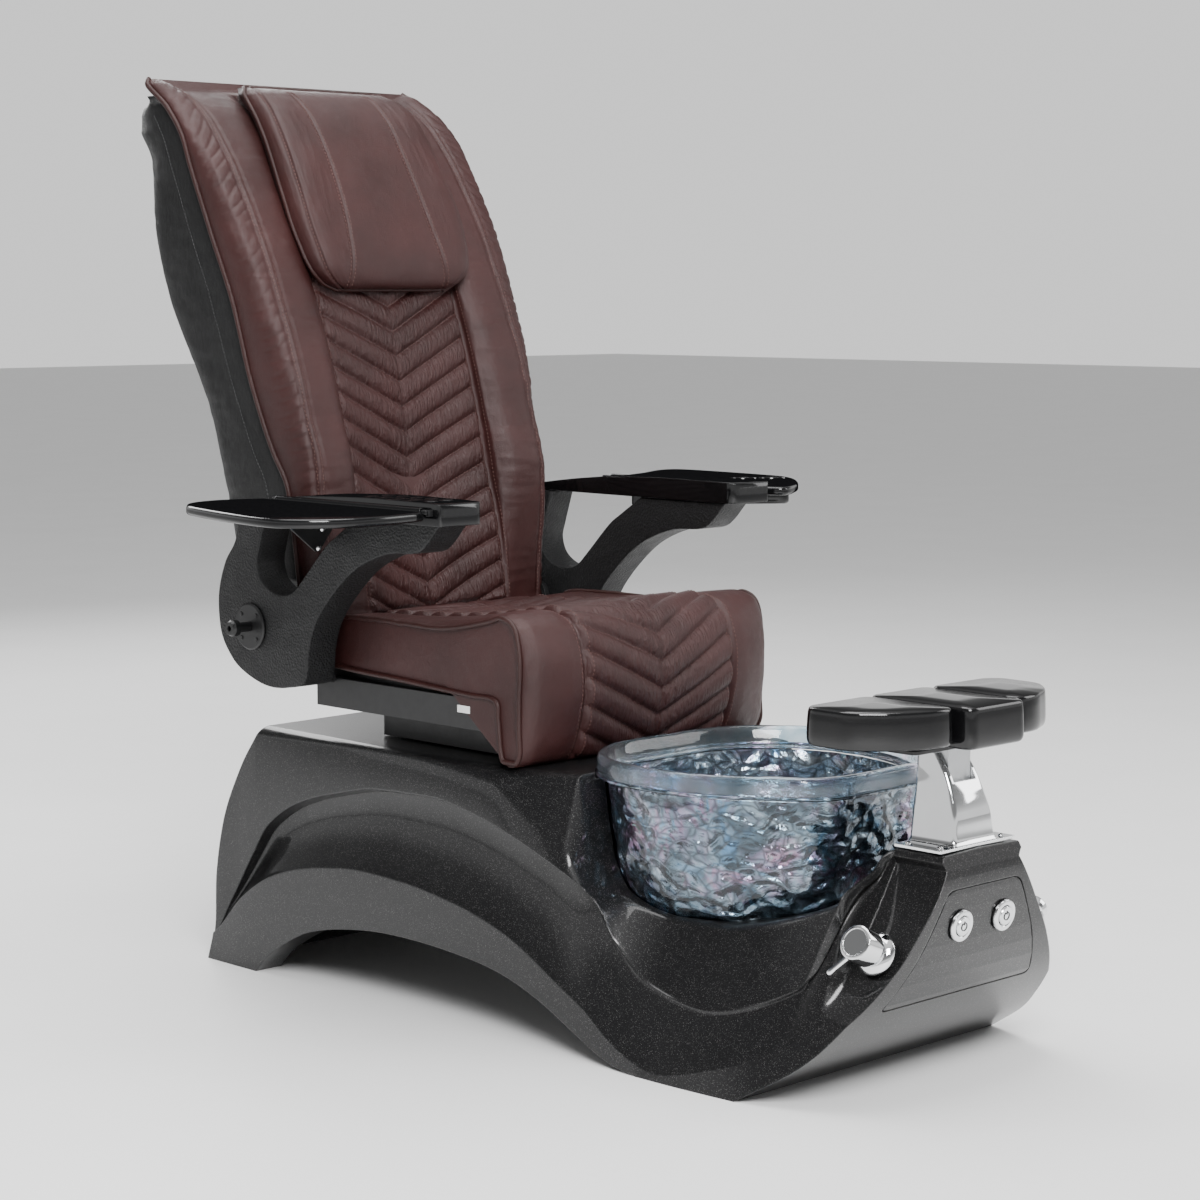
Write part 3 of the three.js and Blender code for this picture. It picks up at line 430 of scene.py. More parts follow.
def leather(name, low, high, gathers=False, shine=0.35):
    s = Shader(name, Roughness=0.42, Specular_IOR_Level=shine)
    tone = s.ramp(s.noise(9, 4, 0.6), (0.3, low), (0.72, high))
    pores = s.cells(1150, "DISTANCE_TO_EDGE")
    grain = s.ramp(pores, (0.0, 0.0), (0.28, 1.0))
    s.colour(s.mix(s.math("MULTIPLY", s.ramp(pores, (0.0, 1.0), (0.12, 0.0)), 0.35), tone, low))
    s.rough(60, 0.36, 0.5, top=0.75)
    creases = s.noise(70, 5, 0.62, s.scaled(1, 1, 0.6), distortion=0.6)
    n = s.relief(creases, 0.0022, 0.32)
    if gathers:
        uv = s.node("ShaderNodeUVMap", uv_map="channels").outputs["UV"]
        folds = s.noise(1.0, 3, 0.6, s.scaled(20, 2.0, 1, uv), distortion=0.5)
        level = s.node("ShaderNodeAttribute", attribute_name="gather").outputs["Fac"]
        flat = s.mix(level, (0.5, 0.5, 0.5), folds)
        n = s.relief(flat, 0.0085, 0.9, n)
    return s.normal(s.relief(grain, 0.00022, 0.55, n))


def gelcoat(name):
    s = Shader(name, Coat_Roughness=0.03, Roughness=0.36, Metallic=0.15, Specular_IOR_Level=0.2)
    facing = s.node("ShaderNodeSeparateXYZ")
    s.link(s.node("ShaderNodeNewGeometry").outputs["Normal"], facing.inputs[0])
    s.drive("Coat Weight", s.ramp(facing.outputs["Z"], (0.86, 0.62), (0.97, 0.22)))
    flakes = s.cells(1300, out="Color")
    level = s.node("ShaderNodeSeparateColor")
    s.link(flakes, level.inputs[0])
    s.colour(s.ramp(level.outputs[0], (0.0, (0.0024, 0.0024, 0.0028)), (0.7, (0.005, 0.005, 0.0055)),
                    (0.93, (0.016, 0.016, 0.017)), (1.0, (0.10, 0.098, 0.095))))
    return s.normal(s.relief(s.noise(38, 2, 0.5), 0.0006, 0.10, s.soft_edges(0.0028)), coat=True)


def gloss_black(name, dull_edge=True):
    s = Shader(name)
    if dull_edge:
        facing = s.node("ShaderNodeLayerWeight").outputs["Facing"]
        s.drive("Specular IOR Level", s.ramp(facing, (0.0, 0.5), (0.6, 0.4), (0.86, 0.0)))
    s.rough(14, 0.06, 0.13, detail=4)
    s.tones(220, (0.0025, 0.0025, 0.0028), (0.006, 0.006, 0.0065), fine=0.6, start=0.35)
    return s.normal(s.relief(s.noise(30, 2), 0.0005, 0.10, s.soft_edges(0.0022)))


def gritty(name):
    s = Shader(name, Specular_IOR_Level=0.4)
    s.tones(300, (0.003, 0.003, 0.0033), (0.013, 0.013, 0.0138), fine=0.7)
    s.rough(35, 0.5, 0.66)
    n = s.relief(s.cells(270), 0.0016, 0.7)
    return s.normal(s.relief(s.noise(620, 3, 0.7), 0.0007, 0.5, n))


def powder_coat(name):
    s = Shader(name)
    s.tones(90, (0.004, 0.004, 0.0045), (0.010, 0.010, 0.0105))
    s.rough(50, 0.34, 0.48)
    return s.normal(s.relief(s.noise(650, 3, 0.6), 0.0004, 0.35, s.soft_edges(0.0015)))


def metal(name, tint, rough, brushed=False):
    s = Shader(name, Metallic=1.0)
    s.tones(18, tuple(0.94 * c for c in tint), tint)
    s.rough(45, rough, rough * 1.7 + 0.01, 4, 0.6)
    n = s.soft_edges(0.0012)
    if brushed:
        n = s.relief(s.noise(1.0, 3, 0.6, s.scaled(900, 900, 12)), 0.0003, 0.35, n)
    else:
        n = s.relief(s.noise(26, 2), 0.0004, 0.08, n)
    return s.normal(n)


def plastic(name, low, high, rough):
    s = Shader(name)
    s.tones(40, low, high)
    s.rough(60, rough, rough + 0.14)
    return s.normal(s.relief(s.noise(500, 3), 0.0003, 0.3, s.soft_edges(0.0012)))


def hammered_glass(name, painted_light=0.0):
    """Silvered glass with a rippled, oily sheen; a lift above 0 brightens the dark patches, painted light that stands
    in for light caught inside the bowl.
    """
    s = Shader(name, Metallic=0.85, Coat_Weight=1.0, Coat_Roughness=0.02)
    warp = s.node("ShaderNodeTexNoise")
    s.feed(warp, Vector=s.coords, Scale=16.0, Detail=2.0)
    bent = s.node("ShaderNodeVectorMath", operation="MULTIPLY_ADD")
    s.link(warp.outputs["Color"], bent.inputs[0])
    bent.inputs[1].default_value = (0.05, 0.05, 0.05)
    s.link(s.scaled(0.72, 0.72, 1.25), bent.inputs[2])
    dents = s.cells(50, "SMOOTH_F1", bent.outputs[0])
    # painted shade: picks out the borders between the hammered dimples, which are darkened below
    valley = s.cells(50, "DISTANCE_TO_EDGE", bent.outputs[0])
    patch = s.noise(15, 4, 0.62, distortion=1.0)
    # painted light: the lift raises the patch colours for the copy used inside the bowl
    lift = 0.16 * painted_light
    base = s.ramp(patch, (0.30 - lift, (0.010, 0.022, 0.034)), (0.44 - lift, (0.045, 0.085, 0.115)),
                  (0.56 - lift, (0.15, 0.22, 0.27)), (0.68 - lift, (0.36, 0.44, 0.49)),
                  (0.82 - lift, (0.74, 0.80, 0.83)))
    hue = s.ramp(s.noise(21, 3, 0.6, distortion=1.6), (0.34, (0.10, 0.35, 0.70)), (0.44, (0.30, 0.42, 0.55)),
                 (0.55, (0.42, 0.28, 0.50)), (0.62, (0.62, 0.26, 0.46)), (0.74, (0.22, 0.55, 0.50)))
    tinted = s.mix(s.ramp(s.noise(12, 3), (0.46, 0.05), (0.66, 0.6)), base, hue)
    # painted shade: colour is pulled toward near black along the borders between dimples
    s.colour(s.mix(s.ramp(valley, (0.0, 0.75), (0.16, 0.0)), tinted, (0.004, 0.009, 0.014)))
    s.rough(60, 0.06, 0.16)
    n = s.relief(dents, 0.014, 0.9)
    return s.normal(s.relief(s.noise(120, 3, 0.6, distortion=0.8), 0.003, 0.4, n))


def rim_glass(name):
    s = Shader(name, Transmission_Weight=0.97, IOR=1.12, Coat_Weight=0.8, Coat_Roughness=0.03)
    s.colour(s.ramp(s.noise(14, 3, 0.6, distortion=1.0), (0.34, (0.36, 0.52, 0.62)), (0.5, (0.66, 0.76, 0.82)),
                    (0.64, (0.72, 0.62, 0.74)), (0.78, (0.56, 0.76, 0.76))))
    s.rough(50, 0.05, 0.14)
    return s.normal(s.relief(s.noise(70, 3, 0.6, distortion=0.6), 0.003, 0.45))


BROWNS = (0.025, 0.0070, 0.0064), (0.044, 0.0134, 0.0126)
BROWN = leather("brown leather", *BROWNS)
QUILT = leather("quilted brown leather", *BROWNS, gathers=True)
PIPING = leather("brown welt leather", (0.020, 0.0052, 0.0044), (0.034, 0.0098, 0.0084))
THREAD = plastic("brown thread", (0.060, 0.024, 0.020), (0.11, 0.05, 0.043), 0.55)
BLACK_LEATHER = leather("black leatherette", (0.0025, 0.0025, 0.0027), (0.007, 0.007, 0.0074), shine=0.2)
BLACK_THREAD = plastic("grey thread", (0.05, 0.05, 0.052), (0.09, 0.09, 0.092), 0.55)
GELCOAT = gelcoat("black gel coat")
GLOSS = gloss_black("gloss black")
PAD_GLOSS = gloss_black("gloss black pads", dull_edge=False)
GRIT = gritty("gritty black skin")
POWDER = powder_coat("black powder coat")
CHROME = metal("chrome", (0.86, 0.87, 0.88), 0.035)
STEEL = metal("bare steel", (0.55, 0.56, 0.57), 0.28, brushed=True)
DARK_PLASTIC = plastic("dark plastic", (0.012, 0.012, 0.013), (0.03, 0.03, 0.031), 0.42)
WHITE_PLASTIC = plastic("white plastic", (0.70, 0.70, 0.69), (0.82, 0.82, 0.81), 0.35)
RUBBER = plastic("roller rubber", (0.010, 0.010, 0.010), (0.024, 0.024, 0.024), 0.7)
GLASS = hammered_glass("hammered glass")
# copy of the glass painted lighter for the bowl's inside: its own patchy silvering, plus a painted brightening for
# light caught inside
INNER_GLASS_PAINTED_LIGHTER = hammered_glass("hammered glass inside painted lighter", painted_light=1.0)
RIM_GLASS = rim_glass("clear rim glass")


# --- base moulding
BOWL_Y = -404
JET_AT = (0, -211, 300)
JET_AXIS = (0, -math.cos(math.radians(7.5)), math.sin(math.radians(7.5)))
VALVE_AT = Vector((167, -752, 212))  # mixing valve and sprayer sit at the same place on each flank
VALVE_OUT, VALVE_UP = math.cos(math.radians(28)), math.sin(math.radians(28))
edge_z = curve((-712, 339), (-705, 270), (-697, 200), (-650, 155), (-597, 128), (-508, 107), (-450, 113),
               (-398, 128), (-340, 175), (-280, 250), (-219, 307), (-155, 350), (-96, 386), (104, 400),
               (444, 392), (620, 380))
edge_x = curve((-712, 84), (-705, 130), (-697, 178), (-650, 215), (-597, 235), (-508, 250), (-340, 252),
               (-280, 262), (-155, 276), (0, 281), (620, 281))
top_z = curve((-712, 341), (-700, 334), (-680, 292), (-640, 256), (-555, 226), (-480, 213), (-414, 213),
              (-313, 231), (-285, 250), (-258, 290), (-247, 360), (-238, 402), (620, 402))
top_x = curve((-712, 82), (-680, 110), (-625, 150), (-555, 183), (-480, 192), (-300, 206), (-258, 216),
              (-238, 232), (0, 264), (620, 270))
lip_z = curve((-712, 330), (-650, 152), (-508, 104), (-398, 125), (-340, 170), (-295, 238), (-239, 269),
              (-154, 304), (-66, 328), (24, 341), (151, 337), (249, 319), (350, 290), (428, 244), (469, 190),
              (530, 100), (567, 46), (620, 20))
lip_x = curve((-712, 88), (-697, 182), (-650, 217), (-508, 252), (-340, 256), (-280, 270), (-155, 284),
              (0, 287), (500, 287), (567, 290))
skirt_z = curve((-712, 122), (-650, 75), (-546, 32), (-450, 10), (-405, 20), (-359, 42), (-312, 75),
                (-264, 100), (-181, 144), (-125, 166), (-34, 188), (89, 203), (184, 206), (286, 196),
                (352, 183), (422, 159), (495, 115), (553, 58), (620, 12))
skirt_x = curve((-712, 226), (-650, 255), (-546, 284), (-450, 293), (0, 293))
bottom_x = curve((-712, 276), (-650, 285), (-546, 293), (-450, 297), (0, 297))
cove = curve((-712, 14), (-600, 4), (-400, 2), (-300, 10), (-200, 22), (0, 27), (350, 27), (480, 18), (545, 3))
NOSE = spline([(-600, 0), (-690, 58), (-755, 130), (-787, 192), (-800, 250), (-804, 300), (-796, 352)], 60)
ARCH = spline([(-420, 0), (-380, 5), (-345, 15), (-300, 35), (-215, 74), (-124, 101), (-3, 114), (123, 116),
               (220, 107), (300, 91), (354, 70), (417, 33), (452, 0)], 120)
REAR_EDGE = spline([(582, 0), (569, 60), (567, 149), (546, 246), (503, 331), (462, 388), (430, 440)], 50)
BOWL_RIM = rounded([(240, -290, 90), (240, -455, 90), (122, -629, 50), (-122, -629, 50), (-240, -455, 90),
                    (-240, -290, 90), (-140, -180, 80), (140, -180, 80)], 60, 14)


def eased(corners):
    """Rounds the corners of an open line; each corner is (across, up, reach)."""
    line = [corners[0][:2]]
    for before, (u, v, reach), after in zip(corners, corners[1:-1], corners[2:]):
        here = np.array([u, v])
        back, ahead = np.array(before[:2]) - here, np.array(after[:2]) - here
        reach = min(reach, np.hypot(*back) / 2.1, np.hypot(*ahead) / 2.1)
        a, b = here + back / np.hypot(*back) * reach, here + ahead / np.hypot(*ahead) * reach
        t = np.linspace(0, 1, 7)[:, None]
        line.extend((1 - t) ** 2 * a + 2 * t * (1 - t) * here + t * t * b)
    line.append(corners[-1][:2])
    return np.array(line, float)


def base_section(y):
    """Outline of the moulding across the chair at one place along it, from the middle out and back."""
    lip, skirt = np.array([lip_x(y), lip_z(y)]), np.array([skirt_x(y), skirt_z(y)])
    wall = eased([(0, top_z(y) + 2), (top_x(y), top_z(y), 14), (edge_x(y), edge_z(y), 11), (*lip, 3),
                  (lip[0] - cove(y) * 0.9, lip[1] + (skirt[1] - lip[1]) * 0.03, 0)])[:-1]
    deep = cove(y) * np.array([1.0, 1.12, 1.13, 1.0, 0.78, 0.48, 0.2, 0.0])
    share = np.array([0.045, 0.18, 0.34, 0.5, 0.66, 0.82, 0.94, 1.0])
    dent = np.stack([lip[0] + (skirt[0] - lip[0]) * share - deep, lip[1] + (skirt[1] - lip[1]) * share], 1)
    hollow = spline(dent, 36)
    flange = eased([tuple(hollow[-2]), (*skirt, 4), (bottom_x(y), -6, 0)])[1:]
    top = np.linspace(wall[0], wall[1], 9)[:-1]
    half = np.vstack([top, wall[1:], hollow[:-1], flange, [(0, -6)]])
    ring = np.vstack([half, half[1:-1][::-1] * (-1, 1)])
    return np.c_[ring[:, 0], np.full(len(ring), y), ring[:, 1]]


def tiers(outline, levels, centre):
    """One outline at several heights, each drawn towards its middle by a share."""
    return [np.c_[centre[0] + (outline[:, 0] - centre[0]) * k, centre[1] + (outline[:, 1] - centre[1]) * k,
                  np.full(len(outline), z)] for z, k in levels]


def panel_outline(grow):
    """Outline of the front access panel, grown on every side."""
    return rounded([(166 + grow, 132 - grow), (78 + grow, 292 + grow), (-78 - grow, 292 + grow),
                    (-166 - grow, 132 - grow)], 14)


def flank(side):
    """Place and direction of the fitting on one flank of the nose."""
    return VALVE_AT * Vector((side, 1, 1)), (side * VALVE_OUT, 0, VALVE_UP)


def nose_layer(name, outer, inner):
    """Slice between two depths that follows the curve of the nose."""
    layers = [NOSE[8:] + (depth, depth * 0.2) for depth in (outer, inner)]
    return prism(name, np.vstack([layers[0], layers[1][::-1]]), "x", -200, 200)


def base_moulding():
    """One skin over the whole base, trimmed to its side view, with the pocket, hollows and holes cut out."""
    stations = np.r_[-830, np.linspace(-712, -676, 44), np.linspace(-674, -640, 24), np.linspace(-635, -320, 60),
                     np.linspace(-315, -232, 40), np.linspace(-226, 600, 110)]
    body = loft("base_moulding", [base_section(y) for y in stations])
    side = np.vstack([NOSE[::-1], ARCH, REAR_EDGE, [(-796, 440)]])
    boolean(body, prism("side_view", side, "x", -330, 330), "INTERSECT")
    pocket = tiers(BOWL_RIM, [(185, 0.56), (189, 0.675), (206, 0.785), (239, 0.857), (279, 0.902), (339, 0.937),
                              (393, 0.957), (394, 1.014), (440, 1.014)], (0, BOWL_Y))
    boolean(body, loft("pocket", pocket))
    hollow = [(-336, -20), (-330, 60), (-285, 120), (-212, 165), (-160, 240), (-145, 384), (425, 384), (468, 350),
              (528, 240), (548, 100), (550, -20)]
    boolean(body, prism("hollow", hollow, "x", -244, 244))
    bay = prism("bay", [(-780, 312), (-777, 250), (-764, 200), (-733, 143), (-672, 75), (-575, 15), (-575, -20),
                        (-365, -20), (-365, 120), (-400, 150), (-560, 150), (-640, 190), (-640, 312)], "x", -240, 240)
    boolean(bay, prism("bay_sides", [(66, 330), (-66, 330), (-150, 150), (-215, 90), (-225, -20), (225, -20),
                                     (215, 90), (150, 150)], "y", -820, -300), "INTERSECT")
    boolean(body, bay)
    recess = prism("panel_recess", panel_outline(1.4), "y", -840, -700)
    boolean(recess, nose_layer("recess_layer", -10, 5.4), "INTERSECT")
    boolean(body, recess)
    boolean(body, prism("panel_hole", panel_outline(-10), "y", -840, -740))
    boolean(body, turned("drain_hole", [(0, 130), (25, 130), (25, 210), (0, 210)], (0, BOWL_Y, 0)))
    boolean(body, turned("jet_hole", [(0, -90), (25, -90), (25, 5), (0, 5)], JET_AT, JET_AXIS))
    for _, side in SIDES[::-1]:
        boolean(body, turned("valve_hole", [(0, -60), (17, -60), (17, 30), (0, 30)], *flank(side)))
    finish_piece(body, "base", GELCOAT, angle=24)
    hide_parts("base_shell")


base_moulding()


# --- bowl
# (height, share of the rim outline) up the outside, down the inside and round the rolled rim
BOWL_OUT = spline([(187, 0.55), (190, 0.66), (207, 0.77), (240, 0.845), (280, 0.89), (340, 0.925), (394, 0.945)], 60)
BOWL_IN = spline([(396, 0.905), (340, 0.885), (280, 0.85), (240, 0.80), (215, 0.715), (203, 0.61), (199, 0.5)], 54)
BOWL_ROLL = spline([(397, 0.952), (399, 0.985), (404, 1.0), (414, 1.004), (424, 1.0), (430, 0.985), (431, 0.965),
                    (427, 0.945), (420, 0.93), (410, 0.915), (397.5, 0.906)], 44, closed=True)


def hammered(points, centre, depth, seed):
    """Dimples a skin of points, pushing it in and out from the middle of the bowl."""
    noise = lattice_noise(points.shape[:2], (11, 46), seed)
    noise = np.sign(noise) * np.abs(noise) ** 0.8
    away = points - centre
    away /= np.linalg.norm(away, axis=-1, keepdims=True)
    return points + away * (noise * depth)[..., None]


def glass_bowl():
    ring = evenly(np.vstack([BOWL_RIM, BOWL_RIM[:1]]), 300, closed=True)
    skins = [hammered(np.array(tiers(ring, profile, (0, BOWL_Y))), np.array([0, BOWL_Y, 330.0]), depth, seed)
             for profile, depth, seed in ((BOWL_OUT, 1.5, 3), (BOWL_IN, 1.3, 4))]
    body = loft("glass_bowl_body", np.vstack(skins))
    boolean(body, turned("drain", [(0, 170), (23, 170), (23, 230), (0, 230)], (0, BOWL_Y, 0)))
    boolean(body, turned("jet", [(0, -40), (25, -40), (25, 40), (0, 40)], JET_AT, JET_AXIS))
    finish_piece(body, "base", GLASS, angle=40)
    # inward and upward faces take the copy painted lighter
    body.data.materials.append(INNER_GLASS_PAINTED_LIGHTER)
    for face in body.data.polygons:
        across = face.center.copy()
        across.y -= BOWL_Y * MM
        across.z = 0.0
        face.material_index = int(face.normal.dot(across) < 0 or face.normal.z > 0.8)
    roll = np.array(tiers(ring, BOWL_ROLL, (0, BOWL_Y)))
    roll += 0.35 * lattice_noise(roll.shape[:2], (3, 60), 8)[..., None]
    lip = mesh("glass_bowl_rim", roll.reshape(-1, 3), grid_faces(*roll.shape[:2], wrap_cols=True, wrap_rows=True))
    face_out(lip)
    finish_piece(lip, "base", RIM_GLASS)
    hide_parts("glass_bowl")
    bead = tube("glass_bowl_bead", np.c_[ring, np.full(len(ring), 400.5)], 2.6, closed=True, body="base",
                material=GLASS)


glass_bowl()


# --- seat cushion
SEAT_HALF, SEAT_SEAM = 262, 160  # half the width of the cushion, and of its quilted middle
SEAT_PITCH, SEAT_RISE, SEAT_LEAD = 43.0, 0.49, 22  # distance, slope and first place of the Vs
SEAT_EDGE = [(310, 574), (298, 592), (247, 597), (177, 598), (104, 598), (41, 597), (-14, 603), (-80, 617),
             (-110, 624), (-136, 610), (-147, 566), (-145, 506), (-145, 455), (-146, 424), (-134, 406), (-118, 404),
             (-106, 420), (-100, 468), (-92, 499.5), (-30, 502.5), (100, 509), (288, 519), (300, 545)]
SEAT_CROWN = [(310, 570), (298, 588), (247, 594), (177, 596), (104, 601), (41, 608), (-14, 616), (-80, 626),
              (-120, 627), (-158, 611), (-180, 566), (-184, 512), (-174, 462), (-158, 424), (-140, 404), (-122, 404),
              (-108, 420), (-101, 468), (-92, 499.5), (-30, 502.5), (100, 509), (288, 519), (300, 545)]


def matched(edge, crown, count):
    """Two closed outlines sampled at the same stations."""
    both = spline(np.hstack([np.array(edge, float), np.array(crown, float)]), count, closed=True)
    return both[:, :2], both[:, 2:]


def quilt(arc, across, half, pitch, rise, height, phase):
    """Height of V-quilted channels; arc runs up the panel and the Vs point down it."""
    w = (arc - rise * np.abs(across) + phase) / pitch
    valley = np.abs((w % 1.0) - 0.5) * 2
    puff = (1 - valley**2.6) ** 0.8
    fade = smooth_step((half - np.abs(across)) / 9)
    ridge = 1 - 0.35 * bump(across, 7)
    return height * puff * fade * ridge, w


def chevron_seams(pts, n, x, along, starts, rise, half, last):
    """Stitch lines down the valleys of V-quilting; along says how far up the panel each row lies."""
    lines = []
    way = np.sign(along[-1] - along[0])
    for start in starts:
        for s in (-1, 1):
            cols = np.flatnonzero((s * x > 0.5) & (np.abs(x) < half))[::s]
            want = start + rise * np.abs(x[cols])
            row = np.interp(way * want, way * along, np.arange(len(along)))
            ok = (want > 10) & (want < last)
            if ok.sum() > 5:
                r, c = np.clip(np.rint(row[ok]).astype(int), 0, len(along) - 1), cols[ok]
                lines.append((pts[r, c], n[r, c]))
    return lines


def gather_layer(obj, uv, level):
    """Writes per-vertex channel coordinates and how strongly the leather gathers there."""
    layer = obj.data.uv_layers.new(name="channels")
    loops = np.zeros(len(obj.data.loops), np.int32)
    obj.data.loops.foreach_get("vertex_index", loops)
    layer.data.foreach_set("uv", uv.reshape(-1, 2)[loops].ravel().astype(np.float32))
    attribute = obj.data.attributes.new("gather", "FLOAT", "POINT")
    attribute.data.foreach_set("value", level.ravel().astype(np.float32))


def seat_cushion():
    """Leather wrapped round the cushion's side view, closed by pulling the rings in at both ends."""
    count = 420
    edge, crown = matched(SEAT_EDGE, SEAT_CROWN, count)
    turn = math.pi / 2 * 0.97
    x = SEAT_HALF * np.sin(np.linspace(-1, 1, 201) * turn) / math.sin(turn)
    f = np.sqrt(np.clip(1 - np.abs(x / SEAT_HALF) ** 5.5, 0, 1))
    pts = np.empty((count, len(x), 3))
    pts[..., 0] = x
    pts[..., 1:] = edge[:, None] + (crown - edge)[:, None] * f[:, None]
    arc = np.r_[0, np.cumsum(np.linalg.norm(np.diff(crown, axis=0), axis=1))]
    front_low = arc[np.argmin(np.hypot(crown[:, 0] + 140, crown[:, 1] - 404))]
    up = front_low - arc
    n = normals_of(pts, (count // 8, 100), (0, 0, 1))
    height, w = quilt(up[:, None], x[None], SEAT_SEAM, SEAT_PITCH, SEAT_RISE, 9.0, SEAT_LEAD)
    live = smooth_step(up / 14)[:, None] * smooth_step((arc - 26) / 30)[:, None] * np.ones_like(height)
    out = np.abs(x)[None]
    seam = 5.0 * bump(out - SEAT_SEAM, 4.5) * live
    strip = 3.0 * smooth_step((out - SEAT_SEAM - 2) / 30) * smooth_step((SEAT_HALF - out) / 20) * live
    centre = (out < SEAT_SEAM) * live
    wrinkle = 0.55 * lattice_noise(pts.shape[:2], (40, 12), 21, 3) * live
    pts += n * (height * live - 3.0 * centre - seam + strip + wrinkle)[..., None]
    faces = grid_faces(count, len(x), wrap_rows=True)
    verts = [pts.reshape(-1, 3)]
    start = count * len(x)
    for column, sign in ((0, -1), (len(x) - 1, 1)):
        ring = pts[:, column]
        centroid = np.array([ring[:, 0].mean(), 60, 545])
        previous = list(range(column, count * len(x), len(x)))
        for share in (0.97, 0.9, 0.75, 0.5, 0.25):
            inner = centroid + (ring - centroid) * share
            inner[:, 0] = sign * (SEAT_HALF - 1.2 + 2.0 * (1 - share**3))
            current = list(range(start, start + count))
            verts.append(inner)
            faces += bridge(previous, current)
            previous, start = current, start + count
        verts.append([centroid * (0, 1, 1) + (sign * (SEAT_HALF + 0.8), 0, 0)])
        faces += [[i, j, start] for i, j in zip(previous, previous[1:] + previous[:1])]
        start += 1
    body = mesh("seat_cushion_leather", np.vstack(verts), faces, "seat", QUILT)
    face_out(body)
    uv, level = np.zeros((start, 2)), np.zeros(start)
    uv[: height.size] = np.stack([np.broadcast_to(x[None], height.shape) * 0.01, w], -1).reshape(-1, 2)
    gathered = centre * (0.35 + 0.65 * bump(x[None], 60)) * smooth_step((arc - 60) / 60)[:, None]
    level[: height.size] = gathered.ravel()
    gather_layer(body, uv, level)
    stands_for(body, "seat_cushion")
    lines = []
    for side, s in SIDES[::-1]:
        column = np.argmin(np.abs(x - s * SEAT_SEAM))
        keep = np.flatnonzero((up > 8) & (arc > 30))
        for offset in (-3, 3):
            lines.append((pts[keep, column + offset], n[keep, column + offset]))
        welt = pts[:, 0 if s < 0 else -1] + (s * 1.2, 0, 0)
        welt[:, 2] = np.maximum(welt[:, 2], 410)
        tube(f"seat_piping_{side}", welt, 4.2, closed=True, body="seat", material=PIPING)
    rows_of = (up + SEAT_LEAD) / SEAT_PITCH
    starts = np.arange(int(np.ceil(rows_of.min())), int(rows_of.max()) + 5) * SEAT_PITCH - SEAT_LEAD
    lines += chevron_seams(pts, n, x, up, starts, SEAT_RISE, SEAT_SEAM - 3, up.max() - 34)
    stitches("seat_stitches", lines, "seat", THREAD, sink=0.3)


seat_cushion()


# --- back cushion
seam_y = curve((600, 326), (652, 336), (727, 352), (800, 375), (875, 393), (951, 414), (1028, 438), (1102, 466),
               (1200, 506), (1300, 552), (1380, 602), (1430, 660), (1450, 700))
centre_y = curve((600, 352), (700, 380), (785, 403), (868, 414), (955, 427), (1080, 456), (1200, 504), (1300, 550),
                 (1380, 600), (1430, 658), (1450, 700))
bolster_y = curve((600, 330), (807, 334), (844, 341), (900, 362), (972, 383), (1085, 430), (1190, 480), (1290, 540),
                  (1370, 600), (1425, 660), (1455, 716))
border_y = curve((600, 378), (700, 384), (789, 394), (850, 428), (898, 450), (967, 472), (1085, 502), (1207, 552),
                 (1310, 597), (1354, 615), (1402, 660), (1440, 722), (1455, 740))
rear_y = curve((640, 590), (768, 612), (891, 640), (977, 672), (1084, 730), (1215, 756), (1316, 760), (1367, 790),
               (1396, 792), (1425, 780))
back_half = curve((600, 250), (789, 262), (898, 268), (967, 275), (1085, 284), (1207, 292), (1354, 296),
                  (1440, 285), (1455, 270))
SEAM_X = 150
BACK_PITCH, BACK_RISE, BACK_LEAD = 42.3, 0.5, 5.1


def back_columns(z):
    """Right half of the cushion's front outline at one height: points from the middle to the welt."""
    half, border, bolster, seam = back_half(z), border_y(z), bolster_y(z), seam_y(z)
    deep = border - bolster
    return [(SEAM_X, seam), (157, seam + (bolster - seam) * 0.42), (178, seam + (bolster - seam) * 0.86),
            (210, bolster + 0.4), (half - 24, bolster + 1.5), (half - 8, bolster + deep * 0.22),
            (half - 0.5, bolster + deep * 0.58), (half, border - 2)]


